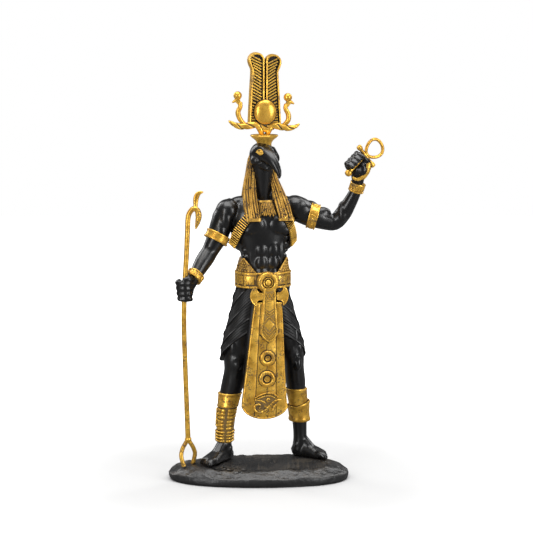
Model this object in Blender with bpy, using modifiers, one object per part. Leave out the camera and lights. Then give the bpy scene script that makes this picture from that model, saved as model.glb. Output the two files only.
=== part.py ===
"""Souvenir figurine of an ibis-headed god: one resin casting on a rock base, with a separate staff and ankh.

Shapes of the man are given in shares of his own height: millimetres on a figure that stands STUDY_HEIGHT
from his soles to the tips of his plumes. The function spot turns them into metres on the real figure.
The front looks along -Y, his raised arm is at +X, and the base stands on the plane z = 0.
"""

import math

import bmesh
import bpy
from mathutils import Matrix, Vector

# Driving sizes, in metres
FIGURE_HEIGHT = 0.289
BASE_LENGTH = 0.129
BASE_DEPTH = 0.066
BASE_THICKNESS = 0.011
BASE_RIM_HEIGHT = 0.0072
STAFF_RADIUS = 0.0018
PRONG_RADIUS = 0.0015
ANKH_SHAFT_RADIUS = 0.0013
ANKH_LOOP_RADIUS = 0.0012
FIT_CLEARANCE = 0.0003
SOCKET_DEPTH = 0.003

# The figure's own measure, in millimetres: its height and the level of its soles there
STUDY_HEIGHT = 289.0
SOLE_LEVEL = 11.0
UNIT = FIGURE_HEIGHT / STUDY_HEIGHT

# The figure is turned a little on its base, and stands behind the base's middle
FIGURE_TURN = Matrix.Rotation(math.radians(10.0), 3, "Z")
FIGURE_PLACE_X = -0.0015
FIGURE_PLACE_Y = 0.0095

# Surface of the flesh and cloth before the hard ornaments are joined on
FLESH_VOXEL = 0.0008
FLESH_TRIANGLES = 3900
FLESH_SMOOTHING_COUNT = 6
FINE_VOXEL = 0.0003
SLIVER = 0.00002
TOUCHING = 0.000001
FIGURE_TRIANGLES = 5620

# Pleats of each thigh's share of the kilt, and how far they stand out in the figure's own millimetres
PLEAT_COUNT = 10
PLEAT_DEPTH = 1.1

PARTS = "thoth statue"
GUIDES = "guides"


def spot(x, y, z):
    """A place on the figure, from its own millimetres to metres in the part's frame."""
    turned = FIGURE_TURN @ Vector((x * UNIT, y * UNIT, 0.0))
    rise = BASE_THICKNESS + (z - SOLE_LEVEL) * UNIT
    return Vector((turned.x + FIGURE_PLACE_X, turned.y + FIGURE_PLACE_Y, rise))


def heading(x, y, z):
    """A direction on the figure, turned as the figure is."""
    return (FIGURE_TURN @ Vector((x, y, z))).normalized()


def clear_scene():
    """Removes every object, so that the script can run again in the same file."""
    for thing in list(bpy.data.objects):
        bpy.data.objects.remove(thing, do_unlink=True)
    for group in list(bpy.data.collections):
        bpy.data.collections.remove(group)


def group_named(name):
    """The collection of this name, made when it is first asked for."""
    group = bpy.data.collections.get(name)
    if group is None:
        group = bpy.data.collections.new(name)
        bpy.context.scene.collection.children.link(group)
    return group


def finish_material(name, colour, roughness, metallic):
    """A plain painted surface."""
    material = bpy.data.materials.new(name)
    material.use_nodes = True
    shader = material.node_tree.nodes["Principled BSDF"]
    shader.inputs["Base Color"].default_value = (*colour, 1.0)
    shader.inputs["Roughness"].default_value = roughness
    shader.inputs["Metallic"].default_value = metallic
    return material


def object_from(name, bm, group):
    """An object with the bmesh's faces pointing outwards."""
    bmesh.ops.recalc_face_normals(bm, faces=bm.faces)
    mesh = bpy.data.meshes.new(name)
    bm.to_mesh(mesh)
    bm.free()
    thing = bpy.data.objects.new(name, mesh)
    group_named(group).objects.link(thing)
    return thing


def largest_shell(thing):
    """Keeps the one connected surface with the most points, and drops stray crumbs."""
    bm = bmesh.new()
    bm.from_mesh(thing.data)
    left = set(bm.verts)
    shells = []
    while left:
        queue = [left.pop()]
        shell = []
        while queue:
            vert = queue.pop()
            shell.append(vert)
            for edge in vert.link_edges:
                other = edge.other_vert(vert)
                if other in left:
                    left.discard(other)
                    queue.append(other)
        shells.append(shell)
    shells.sort(key=len)
    for shell in shells[:-1]:
        bmesh.ops.delete(bm, geom=shell, context="VERTS")
    bm.to_mesh(thing.data)
    bm.free()
    return thing


def baked(thing):
    """Replaces an object's mesh by its evaluated one and drops the modifiers."""
    evaluated = thing.evaluated_get(bpy.context.evaluated_depsgraph_get())
    mesh = bpy.data.meshes.new_from_object(evaluated)
    thing.modifiers.clear()
    thing.data = mesh
    return thing


def between(rows, steps):
    """Rows of numbers on a smooth curve through the given rows, with steps spans from one row to the next."""
    padded = [rows[0]] + list(rows) + [rows[-1]]
    result = []
    for index in range(len(rows) - 1):
        before, start, end, after = padded[index:index + 4]
        for step in range(steps):
            t = step / steps
            weights = (
                -0.5 * t + t * t - 0.5 * t ** 3,
                1.0 - 2.5 * t * t + 1.5 * t ** 3,
                0.5 * t + 2.0 * t * t - 1.5 * t ** 3,
                -0.5 * t * t + 0.5 * t ** 3,
            )
            columns = zip(before, start, end, after)
            result.append([sum(w * v for w, v in zip(weights, column)) for column in columns])
    result.append(list(rows[-1]))
    return result


def rounded(angle, power):
    """Unit superellipse: power 2 is an ellipse, and more is squarer."""
    c, s = math.cos(angle), math.sin(angle)
    exponent = 2.0 / power
    return math.copysign(abs(c) ** exponent, c), math.copysign(abs(s) ** exponent, s)


def skin(bm, rings, closed=False):
    """Joins rings of points into a solid, with a face over each end unless the rings run in a circle."""
    loops = [[bm.verts.new(point) for point in ring] for ring in rings]
    pairs = list(zip(loops, loops[1:]))
    if closed:
        pairs.append((loops[-1], loops[0]))
    for lower, upper in pairs:
        for index in range(len(lower)):
            after = (index + 1) % len(lower)
            bm.faces.new((lower[index], lower[after], upper[after], upper[index]))
    if not closed:
        bm.faces.new(loops[0])
        bm.faces.new(loops[-1])


def loft(bm, rows, across=(1.0, 0.0, 0.0), steps=3, sides=14, power=2.0, rib_depth=0.0):
    """A limb, strap or fold along rows of x, y, z, half width and half depth in figure millimetres.

    The half width lies along the across direction as far as the path allows. Ribs run lengthwise, one for
    every second side, and their depth is a share of the section.
    """
    samples = between(rows, steps)
    places = [spot(*row[:3]) for row in samples]
    side = heading(*across)
    rings = []
    for index, row in enumerate(samples):
        ahead = places[min(index + 1, len(places) - 1)] - places[max(index - 1, 0)]
        ahead.normalize()
        wide = (side - ahead * side.dot(ahead)).normalized()
        deep = ahead.cross(wide)
        ring = []
        for corner in range(sides):
            angle = 2.0 * math.pi * corner / sides
            c, s = rounded(angle, power)
            rib = 1.0 - rib_depth * (corner % 2)
            ring.append(places[index] + (wide * c * row[3] + deep * s * row[4]) * rib * UNIT)
        rings.append(ring)
    skin(bm, rings)


def ball(bm, centre, radii, turn=0.0, tilt=0.0, segments=16):
    """An ellipsoid in figure millimetres, tilted about its X and then turned about its Z."""
    sizes = Matrix.Diagonal((*[radius * UNIT for radius in radii], 1.0))
    lean = Matrix.Rotation(math.radians(turn), 4, "Z") @ Matrix.Rotation(math.radians(tilt), 4, "X")
    place = Matrix.Translation(spot(*centre)) @ FIGURE_TURN.to_4x4() @ lean @ sizes
    bmesh.ops.create_uvsphere(bm, u_segments=segments, v_segments=segments // 2 + 1, radius=1.0, matrix=place)


def turned(bm, centre, axis, profile, sides=20, across=(1.0, 0.0, 0.0), squash=1.0):
    """A turned solid: its profile is pairs of height along the axis and radius, in figure millimetres."""
    middle = spot(*centre)
    ahead = heading(*axis)
    side = heading(*across)
    wide = (side - ahead * side.dot(ahead)).normalized()
    deep = ahead.cross(wide)
    rings = []
    for height, radius in profile:
        ring = []
        for corner in range(sides):
            angle = 2.0 * math.pi * corner / sides
            spoke = wide * math.cos(angle) + deep * math.sin(angle) * squash
            ring.append(middle + (ahead * height + spoke * radius) * UNIT)
        rings.append(ring)
    skin(bm, rings)


def plate(bm, outline, front, back, inset=0.0, sink=0.0):
    """An upright plate: its outline is pairs of x and z, and front and back are y, in figure millimetres.

    With an inset, both faces keep a raised rim of that width round a field that is sunk.
    """
    front_points = [bm.verts.new(spot(x, front, z)) for x, z in outline]
    back_points = [bm.verts.new(spot(x, back, z)) for x, z in outline]
    faces = [bm.faces.new(front_points), bm.faces.new(list(reversed(back_points)))]
    for index in range(len(outline)):
        after = (index + 1) % len(outline)
        bm.faces.new((front_points[after], front_points[index], back_points[index], back_points[after]))
    if inset:
        bmesh.ops.recalc_face_normals(bm, faces=bm.faces)
        bmesh.ops.inset_individual(bm, faces=faces, thickness=inset * UNIT, depth=-sink * UNIT)


def arc(centre_x, centre_z, radius_x, radius_z, start, end, count):
    """Points of x and z on an arc, with its angles in degrees from +X towards +Z."""
    points = []
    for index in range(count):
        angle = math.radians(start + (end - start) * index / (count - 1))
        points.append((centre_x + radius_x * math.cos(angle), centre_z + radius_z * math.sin(angle)))
    return points


def bar(bm, start, end, half_width, half_depth):
    """A straight square stroke from one place to the other, in figure millimetres."""
    rows = [(*start, half_width, half_depth), (*end, half_width, half_depth)]
    ring_side = (0.0, 1.0, 0.0)
    loft(bm, rows, across=ring_side, steps=1, sides=4, power=2.0)


def torso(bm):
    """Trunk from hips to the root of the neck, with its muscles."""
    loft(bm, [
        (4.5, 1.0, 118.0, 17.0, 12.5),
        (4.5, 0.5, 132.0, 18.6, 13.6),
        (4.5, 0.0, 142.0, 18.2, 13.0),
        (4.4, -0.5, 150.0, 16.0, 11.8),
        (4.2, -0.8, 158.0, 15.3, 11.4),
        (3.9, -0.5, 167.0, 17.8, 12.6),
        (3.5, 0.0, 176.0, 20.6, 13.6),
        (3.3, 0.5, 185.0, 21.6, 13.8),
        (3.2, 1.5, 192.0, 19.0, 12.0),
        (3.4, 2.0, 198.0, 12.0, 9.0),
        (3.6, 1.0, 204.0, 7.5, 7.5),
    ], sides=24, power=2.3)
    for side in (-1.0, 1.0):
        chest = 5.6 + side * 9.6
        ball(bm, (chest, -10.2, 180.3), (9.2, 4.6, 7.4), turn=side * 12.0)
        ball(bm, (5.0 + side * 17.4, 2.5, 174.0), (5.2, 9.0, 13.0))
        ball(bm, (4.0 + side * 12.5, 3.5, 197.5), (10.5, 6.0, 4.4))
        for row, height in enumerate((168.0, 159.4, 151.0)):
            ball(bm, (5.9 + side * (3.6 - 0.2 * row), -10.6, height), (3.7, 3.4, 4.9))
        ball(bm, (5.4 + side * 12.4, -5.6, 158.0), (4.6, 5.0, 13.0), turn=side * 30.0)
        ball(bm, (4.5 + side * 12.8, -3.6, 149.0), (4.4, 7.6, 5.6))


def neck_and_head(bm):
    """Neck, skull and the long downward beak, the head turned a little towards +X."""
    loft(bm, [
        (3.8, 0.5, 194.0, 7.6, 7.6),
        (3.9, -1.8, 202.0, 6.1, 6.8),
        (3.9, -3.4, 211.0, 6.5, 7.2),
        (3.6, -4.4, 219.0, 7.4, 8.0),
        (3.2, -4.6, 227.0, 7.8, 8.6),
    ], sides=18)
    ball(bm, (3.0, -3.6, 228.6), (8.3, 10.0, 9.0), turn=16.0)
    ball(bm, (3.3, -4.6, 233.2), (6.6, 7.4, 4.4), turn=16.0)
    loft(bm, [
        (3.4, -7.0, 230.0, 6.8, 6.2),
        (5.2, -14.5, 229.0, 5.8, 5.4),
        (7.2, -20.5, 225.2, 4.7, 4.2),
        (8.9, -24.4, 220.2, 3.5, 3.0),
        (10.2, -26.2, 215.8, 2.3, 2.1),
        (10.9, -26.6, 213.2, 1.3, 1.2),
    ], sides=12)
    loft(bm, [
        (3.0, -8.0, 222.6, 5.4, 3.2),
        (5.0, -14.0, 221.6, 4.2, 2.6),
        (7.0, -18.4, 219.0, 3.0, 2.0),
    ], sides=10)
    ball(bm, (-2.4, -8.8, 225.2), (3.2, 4.6, 3.6), turn=30.0)
    ball(bm, (9.4, -10.2, 226.4), (2.6, 4.6, 3.6), turn=-20.0)
    ball(bm, (-1.0, -10.6, 234.0), (3.0, 3.4, 1.6), turn=30.0)
    ball(bm, (8.4, -12.2, 234.0), (2.2, 3.4, 1.8), turn=-10.0)


def arms(bm):
    """Hanging arm on the staff, and raised arm with the ankh."""
    across = (0.0, 1.0, 0.0)
    loft(bm, [
        (-15.0, 2.0, 193.0, 8.0, 6.5),
        (-21.0, 1.5, 188.5, 9.2, 7.6),
        (-25.6, 1.0, 180.5, 8.8, 7.6),
        (-28.8, 0.0, 171.5, 7.6, 7.2),
        (-32.2, -1.2, 165.0, 6.2, 6.0),
        (-35.2, -2.6, 160.2, 6.0, 5.6),
        (-39.6, -6.6, 154.0, 6.2, 5.8),
        (-44.4, -11.4, 147.4, 5.0, 4.9),
        (-48.6, -14.6, 142.0, 4.4, 4.4),
        (-51.6, -16.0, 138.6, 4.6, 5.2),
    ], across=across, sides=14)
    ball(bm, (-20.6, 1.0, 189.6), (8.4, 9.6, 8.6))
    ball(bm, (-26.4, -3.2, 176.5), (4.6, 5.2, 7.5))
    loft(bm, [
        (21.0, 2.0, 192.0, 8.5, 6.5),
        (29.0, 1.0, 190.2, 9.4, 8.8),
        (36.0, -0.6, 186.4, 8.8, 8.6),
        (42.5, -2.0, 184.0, 8.2, 8.2),
        (49.0, -3.0, 181.2, 6.8, 6.6),
        (55.6, -4.0, 180.4, 5.8, 5.8),
        (60.6, -6.0, 186.4, 5.8, 5.9),
        (64.2, -8.2, 193.0, 5.4, 5.2),
        (67.6, -10.4, 200.4, 4.6, 4.5),
        (69.6, -12.0, 207.0, 4.0, 4.0),
        (69.6, -14.0, 213.5, 4.2, 4.8),
        (69.0, -15.0, 218.0, 5.0, 5.6),
    ], across=across, sides=14)
    ball(bm, (27.6, 0.5, 190.8), (9.4, 9.6, 8.8))
    ball(bm, (45.0, -3.0, 186.4), (7.0, 4.8, 4.6))
    ball(bm, (56.4, -1.8, 178.4), (3.4, 3.4, 3.2))


def finger(bm, centre, axis, start, end, ring_radius, thickness, across=(1.0, 0.0, 0.0)):
    """A finger bent round an axis, from one angle to the other in degrees, in figure millimetres."""
    middle = Vector(centre)
    ahead = Vector(axis).normalized()
    side = Vector(across)
    wide = (side - ahead * side.dot(ahead)).normalized()
    deep = ahead.cross(wide)
    rows = []
    for index in range(6):
        angle = math.radians(start + (end - start) * index / 5.0)
        place = middle + (wide * math.cos(angle) + deep * math.sin(angle)) * ring_radius
        size = thickness * (1.0 - 0.06 * index)
        rows.append((*place, size, size))
    loft(bm, rows, across=tuple(ahead), steps=1, sides=8)


STAFF_GRIP = (-53.6, -16.4, 136.6)
ANKH_KNOB = (60.6, -24.0, 217.0)
ANKH_CROSS = (73.6, -20.0, 228.8)
ANKH_AXIS = tuple(Vector(ANKH_CROSS) - Vector(ANKH_KNOB))


def hands(bm):
    """Both fists: four bent fingers, a thumb and a palm each."""
    grip_x, grip_y, grip_z = STAFF_GRIP
    ball(bm, (grip_x + 2.6, grip_y + 2.8, grip_z + 0.4), (4.4, 4.4, 7.2))
    for index in range(4):
        height = grip_z + 5.4 - 3.7 * index
        finger(bm, (grip_x, grip_y, height), (0.0, 0.0, 1.0), 118.0, 345.0, 4.6, 2.25 - 0.12 * index)
    finger(bm, (grip_x + 0.6, grip_y, grip_z + 7.4), (0.0, 0.1, 1.0), 20.0, -110.0, 4.4, 2.1)
    along = Vector(ANKH_AXIS).normalized()
    middle = (Vector(ANKH_KNOB) + Vector(ANKH_CROSS)) * 0.5
    ball(bm, tuple(middle + Vector((1.6, 5.2, -2.6))), (6.4, 4.4, 7.0))
    ball(bm, tuple(middle + Vector((4.4, 1.6, -4.4))), (3.6, 4.2, 5.0))
    for index in range(4):
        place = middle + along * (5.0 - 3.5 * index)
        finger(bm, tuple(place), tuple(along), -100.0, 80.0, 4.3, 2.2 - 0.08 * index, across=(-0.67, 0.0, 0.74))
    loft(bm, [(73.2, -17.4, 217.6, 2.6, 2.6), (75.2, -19.0, 222.0, 2.3, 2.3), (73.8, -20.8, 225.6, 1.9, 1.9)],
         steps=2, sides=8)


LEG_RIGHT = [
    (-6.0, 0.0, 128.0, 12.0, 12.5),
    (-9.5, -1.0, 112.0, 11.2, 12.0),
    (-12.6, -2.0, 98.0, 10.0, 11.0),
    (-15.0, -3.2, 89.0, 8.8, 9.6),
    (-16.2, -4.0, 83.5, 8.0, 8.6),
    (-16.4, -3.2, 77.0, 7.4, 7.8),
    (-16.8, -1.6, 69.0, 8.1, 8.6),
    (-19.2, -0.4, 60.0, 7.3, 7.9),
    (-20.8, 0.6, 50.0, 6.3, 6.9),
    (-22.2, 1.6, 38.0, 5.4, 6.0),
    (-22.8, 2.2, 28.0, 5.0, 5.6),
    (-22.6, 2.6, 21.0, 5.0, 5.8),
    (-21.4, 3.2, 15.0, 5.0, 5.6),
]
LEG_LEFT = [
    (14.5, 0.0, 128.0, 11.0, 12.5),
    (18.0, -0.5, 112.0, 11.0, 12.0),
    (21.6, -1.5, 98.0, 10.0, 11.0),
    (24.8, -2.5, 89.0, 8.6, 9.4),
    (26.2, -3.0, 83.5, 7.4, 8.4),
    (26.8, -2.2, 77.0, 6.9, 7.6),
    (27.8, -0.4, 69.0, 7.1, 8.2),
    (29.0, 1.2, 60.0, 6.7, 7.7),
    (30.6, 2.6, 50.0, 6.0, 6.8),
    (31.8, 4.0, 38.0, 5.3, 6.0),
    (32.4, 4.8, 28.0, 4.8, 5.6),
    (32.4, 5.0, 21.0, 4.9, 5.8),
    (31.4, 5.2, 15.0, 5.0, 5.6),
]


def foot(bm, heel, ball_of_foot, inner_side):
    """A bare foot flat on the rock: heel and ball are x and y, and the inner side holds the big toe."""
    run = Vector((ball_of_foot[0] - heel[0], ball_of_foot[1] - heel[1], 0.0))
    ahead = run.normalized()
    inward = Vector((-ahead.y, ahead.x, 0.0)) * inner_side
    across = tuple(inward)
    start = Vector((*heel, SOLE_LEVEL))
    shares = ((-0.12, 3.6, 3.6, 3.6), (0.0, 4.2, 5.0, 4.2), (0.32, 5.4, 5.2, 5.6),
              (0.62, 4.6, 6.0, 4.6), (0.9, 3.4, 7.0, 3.4), (1.04, 2.6, 6.8, 2.6))
    rows = []
    for share, height, width, depth in shares:
        place = start + run * share
        rows.append((place.x, place.y, place.z + height - 0.6, width, depth))
    loft(bm, rows, across=across, sides=12, power=2.4)
    ankle = start + run * 0.12
    instep = start + run * 0.66
    loft(bm, [
        (ankle.x, ankle.y, SOLE_LEVEL + 12.0, 4.8, 4.6),
        ((ankle.x + instep.x) / 2.0, (ankle.y + instep.y) / 2.0, SOLE_LEVEL + 7.4, 4.6, 4.0),
        (instep.x, instep.y, SOLE_LEVEL + 3.6, 4.6, 2.6),
    ], across=across, sides=10)
    for index in range(5):
        share = index / 4.0
        root = start + run * (0.98 - 0.16 * share) + inward * (5.0 - 10.6 * share)
        size = 2.5 - 0.95 * share
        tip = root + ahead * (5.4 - 1.6 * share) - inward * 0.5 * share
        loft(bm, [
            (root.x, root.y, SOLE_LEVEL + size + 0.5, size, size),
            ((root.x + tip.x) / 2.0, (root.y + tip.y) / 2.0, SOLE_LEVEL + size + 0.7, size * 1.02, size),
            (tip.x, tip.y, SOLE_LEVEL + size - 0.4, size * 0.8, size * 0.72),
        ], across=across, sides=8)


def legs(bm):
    """Striding legs with the fork between them, kneecaps and bare feet."""
    loft(bm, LEG_RIGHT, sides=16)
    loft(bm, LEG_LEFT, sides=16)
    ball(bm, (-14.8, -11.2, 84.5), (4.4, 3.2, 4.6))
    ball(bm, (-10.8, -9.0, 90.0), (3.8, 3.6, 6.0))
    ball(bm, (-18.6, -9.0, 91.0), (3.6, 3.6, 6.0))
    ball(bm, (27.0, -10.2, 84.0), (3.9, 3.0, 4.4))
    ball(bm, (-17.4, 3.4, 66.0), (6.2, 5.6, 10.0))
    ball(bm, (28.6, 4.4, 66.0), (5.6, 5.4, 10.0))
    ball(bm, (4.4, 0.5, 118.5), (10.0, 11.0, 7.0))
    foot(bm, (-20.6, 4.4), (-37.4, -13.4), 1.0)
    foot(bm, (30.6, 6.6), (46.6, -5.8), -1.0)


def kilt_leg(name, rows, hem):
    """One thigh's share of the pleated kilt.

    Its pleats lie level under the belt and lean more and more towards the slanting hem through three places.
    Each pleat's lower edge stands proud of the pleat below.
    """
    first, second, third = [Vector(point) for point in hem]
    slant = (second - first).cross(third - first)
    top = rows[0][2]
    sides = 18
    bm = bmesh.new()
    rings = []
    for number in range(2 * PLEAT_COUNT):
        share = (number // 2 + number % 2 * 0.96) / PLEAT_COUNT
        proud = PLEAT_DEPTH * (1.0 - number % 2)
        ring = []
        for corner in range(sides):
            c, s = rounded(2.0 * math.pi * corner / sides, 2.2)
            height = first.z + (top - first.z) * share
            for _ in range(4):
                x, y, _, wide, deep = point_on(rows, height)
                x += c * (wide + proud)
                y += s * (deep + proud)
                fall = (slant.x * (x - first.x) + slant.y * (y - first.y)) / slant.z
                height = (first.z - fall) * (1.0 - share) + top * share
            ring.append(spot(x, y, height))
        rings.append(ring)
    skin(bm, rings)
    return object_from(name, bm, GUIDES)


def kilt(pieces):
    """The wrapped kilt over both thighs, and the cloth that hangs behind the apron."""
    pieces.append(kilt_leg("right kilt share", [
        (0.5, 0.0, 138.0, 15.9, 13.4),
        (-4.0, -0.3, 130.0, 12.8, 13.6),
        (-7.6, -1.0, 118.0, 12.4, 13.4),
        (-10.8, -1.6, 103.0, 12.6, 12.8),
        (-13.4, -2.2, 92.0, 12.2, 12.2),
        (-14.6, -2.4, 80.0, 11.8, 11.6),
    ], ((-6.6, -16.0, 106.8), (-26.8, -8.0, 90.0), (-16.0, 12.0, 82.0))))
    pieces.append(kilt_leg("left kilt share", [
        (8.5, 0.0, 138.0, 15.4, 13.4),
        (12.0, -0.2, 130.0, 12.0, 13.6),
        (15.8, -0.6, 118.0, 12.0, 13.4),
        (19.6, -1.2, 103.0, 12.0, 12.6),
        (22.4, -1.6, 92.0, 11.6, 11.8),
        (23.8, -1.6, 80.0, 11.0, 11.0),
    ], ((17.3, -14.0, 102.7), (33.6, -6.0, 89.0), (26.0, 12.0, 82.0))))


def apron_lining(bm):
    """The cloth that hangs behind the apron."""
    loft(bm, [
        (4.6, -12.0, 132.0, 11.0, 5.0),
        (3.6, -12.4, 105.0, 13.0, 6.0),
        (2.8, -13.8, 75.0, 14.2, 5.4),
        (2.6, -15.6, 51.0, 14.4, 4.0),
    ], sides=16, power=4.0)


def fused(name, bm, group, voxel, smoothing, triangles):
    """One smooth surface round overlapping shapes, thinned to about this many triangles."""
    thing = object_from(name, bm, group)
    remesh = thing.modifiers.new("one skin", "REMESH")
    remesh.mode = "VOXEL"
    remesh.voxel_size = voxel
    smooth = thing.modifiers.new("soften", "SMOOTH")
    smooth.iterations = smoothing
    return thinned(baked(thing), triangles)


def mended(thing):
    """Opens the surface wherever more or fewer than two faces meet at an edge, and closes it with fresh faces."""
    bm = bmesh.new()
    bm.from_mesh(thing.data)
    bmesh.ops.remove_doubles(bm, verts=bm.verts, dist=TOUCHING)
    bmesh.ops.dissolve_degenerate(bm, dist=SLIVER, edges=bm.edges)
    bmesh.ops.triangulate(bm, faces=bm.faces)
    for _ in range(6):
        faulty = {vert for edge in bm.edges if len(edge.link_faces) != 2 for vert in edge.verts}
        if not faulty:
            break
        doubtful = {face for vert in faulty for face in vert.link_faces}
        bmesh.ops.delete(bm, geom=list(doubtful), context="FACES")
        loose = [vert for vert in bm.verts if not vert.link_faces]
        bmesh.ops.delete(bm, geom=loose, context="VERTS")
        rims = [edge for edge in bm.edges if len(edge.link_faces) == 1]
        filled = bmesh.ops.holes_fill(bm, edges=rims)
        bmesh.ops.triangulate(bm, faces=filled["faces"])
    bmesh.ops.recalc_face_normals(bm, faces=bm.faces)
    bm.to_mesh(thing.data)
    bm.free()
    return thing


def thinned(thing, triangles):
    """The same surface with about this many triangles, fewest where it is flat."""
    thing.data.calc_loop_triangles()
    fewer = thing.modifiers.new("fewer", "DECIMATE")
    fewer.ratio = triangles / len(thing.data.loop_triangles)
    return largest_shell(mended(baked(thing)))


def flesh():
    """Everything soft in one smooth surface with few triangles."""
    bm = bmesh.new()
    for build in (torso, neck_and_head, arms, hands, legs, apron_lining):
        build(bm)
    return fused("figure", bm, PARTS, FLESH_VOXEL, FLESH_SMOOTHING_COUNT, FLESH_TRIANGLES)


def rock_base(bm):
    """The oval slab of rock: upright broken sides, and a top that rises to the soles."""
    sides = 36
    rim = BASE_RIM_HEIGHT
    ledge = (BASE_RIM_HEIGHT + BASE_THICKNESS) / 2.0
    levels = (
        (0.0, 0.965, 0.0),
        (rim * 0.3, 1.0, 0.3),
        (rim * 0.72, 0.992, 0.7),
        (rim, 0.955, 1.0),
        (ledge, 0.91, 1.0),
        (BASE_THICKNESS - 0.0004, 0.83, 0.6),
        (BASE_THICKNESS + 0.0003, 0.70, 0.3),
        (BASE_THICKNESS + 0.0004, 0.40, 0.2),
    )
    rings = []
    for level, (height, size, rough) in enumerate(levels):
        ring = []
        for corner in range(sides):
            angle = 2.0 * math.pi * corner / sides
            c, s = rounded(angle, 2.25)
            wave = math.sin(3.0 * angle + 1.1 * level) + 0.7 * math.sin(7.0 * angle - 0.8 * level + 0.5)
            wave += 0.6 * math.sin(13.0 * angle + 2.3 * level)
            stretch = size * (1.0 + 0.006 * rough * wave)
            rise = height * (1.0 + 0.045 * rough * math.sin(5.0 * angle + 1.7 * level) + 0.025 * rough * wave)
            ring.append(Vector((c * stretch * BASE_LENGTH / 2.0, s * stretch * BASE_DEPTH / 2.0, rise)))
        rings.append(ring)
    skin(bm, rings)


def crown(pieces):
    """Cup, stem, twisted ram horns, plumes, sun disc and the two cobras."""
    bm = bmesh.new()
    turned(bm, (4.9, -3.4, 0.0), (0.0, 0.0, 1.0), [
        (233.0, 5.3), (236.0, 5.1), (238.4, 6.0), (240.4, 7.9), (241.9, 9.5), (242.7, 9.5), (242.0, 7.6),
        (241.2, 4.0),
    ], sides=16)
    pieces.append(object_from("cup", bm, GUIDES))
    bm = bmesh.new()
    turned(bm, (4.9, -3.4, 0.0), (0.0, 0.0, 1.0), [
        (240.0, 3.5), (243.0, 3.4), (245.0, 4.4), (247.4, 5.4), (249.4, 5.2),
    ], sides=10)
    pieces.append(object_from("stem", bm, GUIDES))
    horn = [
        (-20.4, 252.9, 0.7), (-16.6, 250.4, 1.7), (-11.6, 248.8, 2.2), (-6.7, 249.2, 2.3), (-2.0, 249.8, 2.3),
        (1.6, 248.4, 2.3), (5.2, 246.6, 2.3), (8.8, 247.9, 2.3), (12.6, 249.0, 2.3), (17.0, 248.0, 2.2),
        (21.6, 247.2, 2.0), (26.0, 247.8, 1.5), (29.6, 250.2, 0.7),
    ]
    bm = bmesh.new()
    loft(bm, [(x, -4.6, z, r, r) for x, z, r in horn], across=(0.0, 0.0, 1.0), steps=1, sides=8)
    pieces.append(object_from("ram horns", bm, GUIDES))
    for side, top in ((-1.0, 300.0), (1.0, 298.7)):
        pieces.append(plume(side, top))
        pieces.extend(barbs(side, top))
    bm = bmesh.new()
    turned(bm, (5.5, -8.0, 258.7), (0.0, -1.0, 0.0), [
        (-3.6, 7.3), (0.6, 7.5), (1.6, 6.9), (2.8, 4.4), (3.3, 1.8),
    ], sides=18, squash=1.14)
    pieces.append(object_from("sun disc", bm, GUIDES))
    cobra(pieces, "left cobra", [
        (-9.0, 250.4, 1.7), (-12.6, 254.4, 1.9), (-13.8, 259.4, 2.0), (-11.8, 263.0, 1.8), (-12.4, 265.8, 1.6),
        (-14.6, 267.0, 1.4), (-17.6, 265.4, 0.6),
    ], (-14.0, 270.2))
    cobra(pieces, "right cobra", [
        (18.0, 249.2, 1.7), (21.8, 252.8, 1.9), (21.8, 257.0, 2.0), (19.6, 260.9, 1.8), (20.6, 264.2, 1.6),
        (22.4, 265.6, 1.4), (25.6, 264.0, 0.6),
    ], (21.4, 268.6))


PLUME_FRONT = -6.4
PLUME_BACK = 1.6
PLUME_SINK = 0.8


def plume(side, top):
    """One tall feather with a rim round its sunk field: side is -1 or 1."""
    axis = 5.3
    drop = top - 300.0
    outline = [(axis + side * 0.3, 249.6), (axis + side * 11.5, 249.6), (axis + side * 10.6, 268.0)]
    outline += [(axis + side * 9.3, 288.2 + drop), (axis + side * 10.6, 290.2 + drop)]
    crest = arc(axis + side * 5.9, 294.4 + drop, 5.7, 5.6, -20.0, 200.0, 12)
    if side < 0.0:
        crest = [(2.0 * axis + 2.0 * side * 5.9 - x, z) for x, z in crest]
    outline += crest
    bm = bmesh.new()
    plate(bm, outline, PLUME_FRONT, PLUME_BACK, inset=1.5, sink=PLUME_SINK)
    return object_from("plume", bm, GUIDES)


def barbs(side, top):
    """Slanting barbs inside one plume's rim, as one object for each plume."""
    bm = bmesh.new()
    axis = 5.3
    count = 14
    for index in range(count):
        height = 253.5 + (top - 10.0 - 253.5) * index / (count - 1)
        share = (height - 250.0) / 40.0
        outer = axis + side * (10.6 - 2.2 * share)
        inner = axis + side * 1.7
        lean = 2.6 * min(1.0, max(0.0, (height - 256.0) / 8.0))
        bar(bm, (inner, PLUME_FRONT + 0.6, height - lean), (outer, PLUME_FRONT + 0.6, height + lean * 0.35),
            0.62, 0.62)
    return [object_from("barbs", bm, GUIDES)]


def cobra(pieces, name, path, disc):
    """A rearing cobra with a ball on its head: the path is x, z and radius."""
    depth = -4.4
    bm = bmesh.new()
    loft(bm, [(x, depth, z, r, r) for x, z, r in path], across=(0.0, 1.0, 0.0), steps=2, sides=6)
    pieces.append(object_from(name, bm, GUIDES))
    bm = bmesh.new()
    ball(bm, (disc[0], depth, disc[1]), (2.9, 2.9, 2.9), segments=8)
    pieces.append(object_from(name + " disc", bm, GUIDES))


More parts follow.
